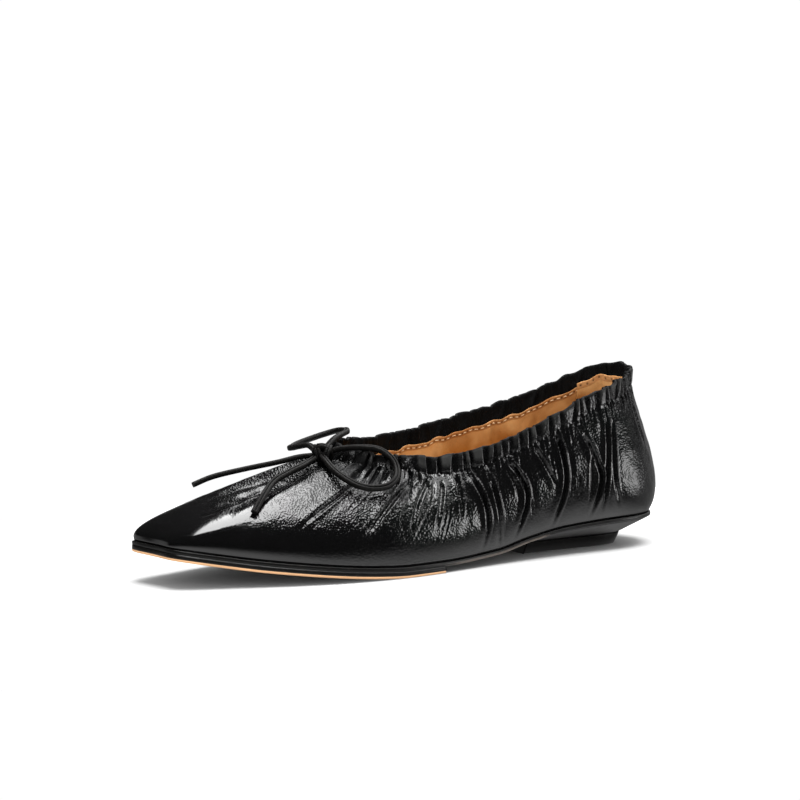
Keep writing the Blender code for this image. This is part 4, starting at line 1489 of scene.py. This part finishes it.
class SHOE_OT_lining(bpy.types.Operator):
    """Put in the tan lining and the heel grip, each with its stitched top edge"""

    bl_idname = "shoe.lining"
    bl_label = "Lining"

    def execute(self, context):
        sizes, colours = on_scene()
        skin = skin_for(sizes)
        leather = lining_leather(colours, "lining_leather", colours.lining, LINING_SHEEN)
        thread = stitch_thread(colours)
        top = LINING_TOP + LINING_WAVE * skin.wander(LINING_SEED)
        inset = sizes.frill + LINING_GAP
        self.add_lining(sizes, skin, top, inset, leather, thread)
        self.add_grip(sizes, skin, top + GRIP_RISE, inset + sizes.lining, leather, thread)
        return {"FINISHED"}

    def add_lining(self, sizes, skin, top, inset, leather, thread):
        """Sheet round the whole inside, turned over at its top edge."""
        face, down = self.face(skin, top, inset)
        back = self.face(skin, top, inset - sizes.lining)[0][:, ::-LINING_BACK_STEP]
        middle = (face[:, :1] + back[:, -1:]) / 2.0
        over = middle + (back[:, -1:] - middle) * np.cos(TURN_OVER)
        over = over + skin.frill_up[:, None] * (sizes.lining / 2.0) * np.sin(TURN_OVER)
        points = np.concatenate([face, back, over], axis=1)
        shape = points.shape[:2]
        fields = {"hem": np.ones(shape), "hole": np.zeros(shape), "depth": np.ones(shape)}
        for name, values in self.marks(face, down, sizes.stitch_pitch).items():
            fields[name][:, : face.shape[1]] = values
        piece = grid_piece("lining", points, fields, True)
        close_piece(piece)
        attach(piece, leather, "tan_leather")
        piece.visible_glossy = False
        inwards = -skin.normal[:, BODY_ROWS]
        self.sew("lining_stitches", face[:, SEAM_ROW], inwards, sizes.stitch_pitch, thread)

    def add_grip(self, sizes, skin, top, inset, leather, thread):
        """Sheet over the lining at the heel."""
        sheet, down = self.face(skin, top, inset)
        chosen = np.nonzero(skin.side_share < GRIP_SHARE)[0]
        chosen = np.roll(chosen, -np.argmax(np.diff(chosen)) - 1)
        kept = down[0] < GRIP_DEPTH
        fields = self.marks(sheet, down, sizes.stitch_pitch)
        fields = {name: values[chosen][:, kept] for name, values in fields.items()}
        piece = grid_piece("heel_grip", sheet[chosen][:, kept], fields, False)
        bpy.ops.object.modifier_add(type="SOLIDIFY")
        piece.modifiers[0].thickness = sizes.lining
        piece.modifiers[0].offset = 0.0
        bpy.ops.object.modifier_apply(modifier=piece.modifiers[0].name)
        close_piece(piece)
        attach(piece, leather, "tan_leather")
        piece.visible_glossy = False
        inwards = -skin.normal[chosen, BODY_ROWS]
        self.sew("grip_stitches", sheet[chosen, SEAM_ROW], inwards, sizes.stitch_pitch, thread)

    def face(self, skin, top, inset):
        """Inner face from its top edge down, and each point's distance below that edge."""
        hem = skin.level(top[:, None] - np.linspace(0.0, HEM, HEM_ROWS))
        share = np.linspace(0.0, 1.0, LINING_ROWS)[1:]
        rows = np.concatenate([hem, hem[:, -1:] * (1.0 - share) + LINING_FOOT * share], axis=1)
        down = top[:, None] - skin.arc(rows)
        base, normal, push = skin.sample(rows, True)
        uneven = np.maximum(0.5 + 0.5 * skin.wander(LINING_SEED + 1), 0.0)[:, None]
        buckle = HEM_BUCKLE * uneven * bell(down, HEM_BUCKLE_REACH)
        return base + normal * (push - inset - buckle[..., None]), down

    def marks(self, face, down, pitch):
        """Where a face is hemmed, where a needle went in between stitches, and how deep it lies."""
        seam = face[:, SEAM_ROW]
        gap = (lengths_along(seam) / pitch + 0.5) % 1.0 - 0.5
        aside = np.linalg.norm(face - seam[:, None], axis=2)
        return {
            "hem": 1.0 - smoothstep(HEM_EDGE * HEM, HEM, down),
            # Needle holes, painted dark as shade
            "hole": bell(gap * pitch, NEEDLE_HOLE)[:, None] * bell(aside, NEEDLE_HOLE),
            "depth": smoothstep(0.0, LINING_SHADE, down - HEM),
        }

    def sew(self, name, seam, inwards, pitch, thread):
        """Lay stitches along a line: one is modelled, then copied to each place."""
        along = lengths_along(seam)
        places = np.arange(0.5, along[-1] / pitch) * pitch
        middle = read_along(along, seam, places)
        run = unit(read_along(along, seam, places + STITCH_AHEAD) - middle + NUDGE)
        rise = square_to(run, read_along(along, inwards, places))
        stitch = add_form(name, bpy.ops.mesh.primitive_uv_sphere_add, **STITCH_FORM)
        half = np.array((STITCH_SHARE * pitch, STITCH_WIDTH, STITCH_HEIGHT)) / 2.0
        with editing():
            bpy.ops.transform.rotate(value=np.pi / 2.0, orient_axis="Y", center_override=(0.0, 0.0, 0.0))
            bpy.ops.transform.resize(value=tuple(half))
        form = read_points(stitch)
        copies = [stitch]
        for _ in places[1:]:
            copy = stitch.copy()
            copy.data = stitch.data.copy()
            bpy.context.scene.collection.objects.link(copy)
            copies.append(copy)
        for copy, at, ahead, up in zip(copies, middle, run, rise):
            write_points(copy, at + form @ np.array((ahead, np.cross(up, ahead), up)))
        join_into(stitch, copies)
        close_piece(stitch)
        attach(stitch, thread, "tan_leather")


def sole_ring(last, start, end, depth):
    """Plan of a sole piece between two places of the outline, closed straight across."""
    if start <= 0.0 and end >= last.half:
        return last.inset(np.linspace(0.0, 2.0 * last.half, SOLE_COLUMNS, endpoint=False), depth)
    limits = (start, 2.0 * last.half - start) if start > 0.0 else (-end, end)
    curve = last.inset(np.linspace(*limits, SOLE_COLUMNS - BREAST_STEPS), depth)
    share = np.linspace(0.0, 1.0, BREAST_STEPS + 2)[1:-1, None]
    return np.concatenate([curve, between((curve[-1], curve[0]), share)])


def plate_rings(last, start, end, levels):
    """Rings of a solid: levels are (inset, height function) from its underside to its top."""

    def ring(inset, height, share=1.0):
        plan = sole_ring(last, start, end, inset)
        plan = between((plan.mean(axis=0), plan), share)
        return np.concatenate([plan, height(plan[:, 1:])], axis=1) + SHIFT

    underside = [ring(*levels[0], share) for share in FLAT_SHARES]
    topside = [ring(*levels[-1], share) for share in FLAT_SHARES[::-1]]
    return np.array([*underside, *(ring(*level) for level in levels), *topside])


def raised(level, height):
    """A height function, raised by a height."""
    return lambda y: level(y) + height


def rounded(level, inset, facing, reach=1.0):
    """Levels of a rounded edge: the piece lies above the given level if facing is 1, and below it if
    facing is -1."""
    profile = EDGE_PROFILE if facing > 0.0 else EDGE_PROFILE[::-1]
    return [(inset + aside * reach * MM, raised(level, facing * rise * MM)) for aside, rise in profile]


class SHOE_OT_sock(bpy.types.Operator):
    """Lay the tan sock on the inside of the sole"""

    bl_idname = "shoe.sock"
    bl_label = "Sock"

    def execute(self, context):
        sizes, colours = on_scene()
        last = Last()
        levels = [(SOCK_INSET, sole_top)]
        levels += rounded(raised(sole_top, GAP + sizes.sock), SOCK_INSET, -1.0)
        piece, _ = ring_piece("insole", plate_rings(last, 0.0, last.half, levels))
        close_piece(piece)
        leather = lining_leather(colours, "sock_leather", colours.sock, SOCK_SHEEN)
        attach(piece, leather, "tan_leather", "insole")
        return {"FINISHED"}


class SHOE_OT_soles(bpy.types.Operator):
    """Make the thin full sole and the half sole with its black edge over a natural layer"""

    bl_idname = "shoe.soles"
    bl_label = "Soles"

    def execute(self, context):
        sizes, colours = on_scene()
        last = Last()
        black = sole_edge(colours, "sole_edge", SOLE_GLOSS)
        under = raised(sole_top, -sizes.outsole)
        levels = rounded(under, 0.0, 1.0) + rounded(sole_top, 0.0, -1.0)
        outsole, row = ring_piece("outsole", plate_rings(last, 0.0, last.half, levels))
        # The waist's lower rounded edge is marked for its painted highlight
        waist = window(EDGE_HIGHLIGHT_START, EDGE_HIGHLIGHT_END, read_points(outsole)[:, 1])
        low_edge = (row > len(FLAT_SHARES)) & (row <= len(FLAT_SHARES) + len(EDGE_PROFILE))
        set_attribute(outsole, "edge_highlight", waist * low_edge)
        close_piece(outsole)
        attach(outsole, black, "black_edge", "outsole")

        bottom = -sizes.outsole - GAP - sizes.forefoot
        levels = rounded(raised(sole_top, bottom), 0.0, 1.0)
        groove = 1 + len(FLAT_SHARES) + len(levels)
        for inset, rise in ((0.0, -GROOVE), (GROOVE, 0.0), (0.0, GROOVE)):
            levels.append((inset, raised(sole_top, bottom + sizes.tan_layer + rise)))
        levels.append((0.0, under))
        start = last.station_at(HALF_SOLE_END)
        half_sole, row = ring_piece("forefoot_sole", plate_rings(last, start, last.half, levels))
        rows = face_rows(half_sole, row)
        attach(half_sole, natural_sole(colours), "tan_sole", "forefoot_sole")
        half_sole.data.materials.append(black)
        # The natural layer ends at the bottom of the groove
        half_sole.data.polygons.foreach_set("material_index", (rows > groove).astype(np.int32))
        close_piece(half_sole)
        half_sole.visible_diffuse = False
        return {"FINISHED"}


class SHOE_OT_heel(bpy.types.Operator):
    """Build the flared heel and the lift under it"""

    bl_idname = "shoe.heel"
    bl_label = "Heel"

    def execute(self, context):
        sizes, colours = on_scene()
        last = Last()
        black = sole_edge(colours, "heel_edge", HEEL_GLOSS)
        end = last.station_at(HEEL_BREAST)
        under = raised(sole_top, -sizes.outsole)

        def level(share):
            return lambda y: between((LIFT_HEIGHT, under(y)), share)

        levels = [(HEEL_FLARE + aside, level(share)) for aside, share in HEEL_FOOT]
        levels += [(between((HEEL_FLARE, GAP), share), level(share)) for share in HEEL_STEPS]
        levels.append((GAP + HEEL_TOP, level(1.0)))
        heel, _ = ring_piece("heel", plate_rings(last, 0.0, end, levels))
        close_piece(heel)
        attach(heel, black, "black_edge", "heel")

        levels = rounded(np.zeros_like, HEEL_FLARE + LIFT_TAPER, 1.0)
        levels += rounded(raised(np.zeros_like, LIFT_HEIGHT), HEEL_FLARE, -1.0, LIFT_EDGE)
        lift, _ = ring_piece("top_lift", plate_rings(last, 0.0, end, levels))
        close_piece(lift)
        attach(lift, black, "black_edge", "top_lift")
        return {"FINISHED"}


OPERATORS = (
    SHOE_OT_stage,
    SHOE_OT_bow,
    SHOE_OT_upper,
    SHOE_OT_lining,
    SHOE_OT_sock,
    SHOE_OT_soles,
    SHOE_OT_heel,
)


class SHOE_PT_panel(bpy.types.Panel):
    """Lists the shoe's pieces with their sizes and colours"""

    bl_idname = "SHOE_PT_panel"
    bl_label = "Ballet flat"
    bl_space_type = "VIEW_3D"
    bl_region_type = "UI"
    bl_category = "Shoe"

    def draw(self, context):
        for operator in OPERATORS:
            self.layout.operator(operator.bl_idname)
        for group in (context.scene.shoe_sizes, context.scene.shoe_colours):
            for name in group.__annotations__:
                self.layout.prop(group, name)


CLASSES = (ShoeSizes, ShoeColours, *OPERATORS, SHOE_PT_panel)


def register():
    for item in CLASSES:
        bpy.utils.register_class(item)
    bpy.types.Scene.shoe_sizes = bpy.props.PointerProperty(type=ShoeSizes)
    bpy.types.Scene.shoe_colours = bpy.props.PointerProperty(type=ShoeColours)


def unregister():
    del bpy.types.Scene.shoe_colours
    del bpy.types.Scene.shoe_sizes
    for item in reversed(CLASSES):
        bpy.utils.unregister_class(item)


def main():
    register()
    bpy.ops.shoe.stage()
    bpy.ops.shoe.bow()
    bpy.ops.shoe.upper()
    bpy.ops.shoe.lining()
    bpy.ops.shoe.sock()
    bpy.ops.shoe.soles()
    bpy.ops.shoe.heel()


if __name__ == "__main__":
    main()
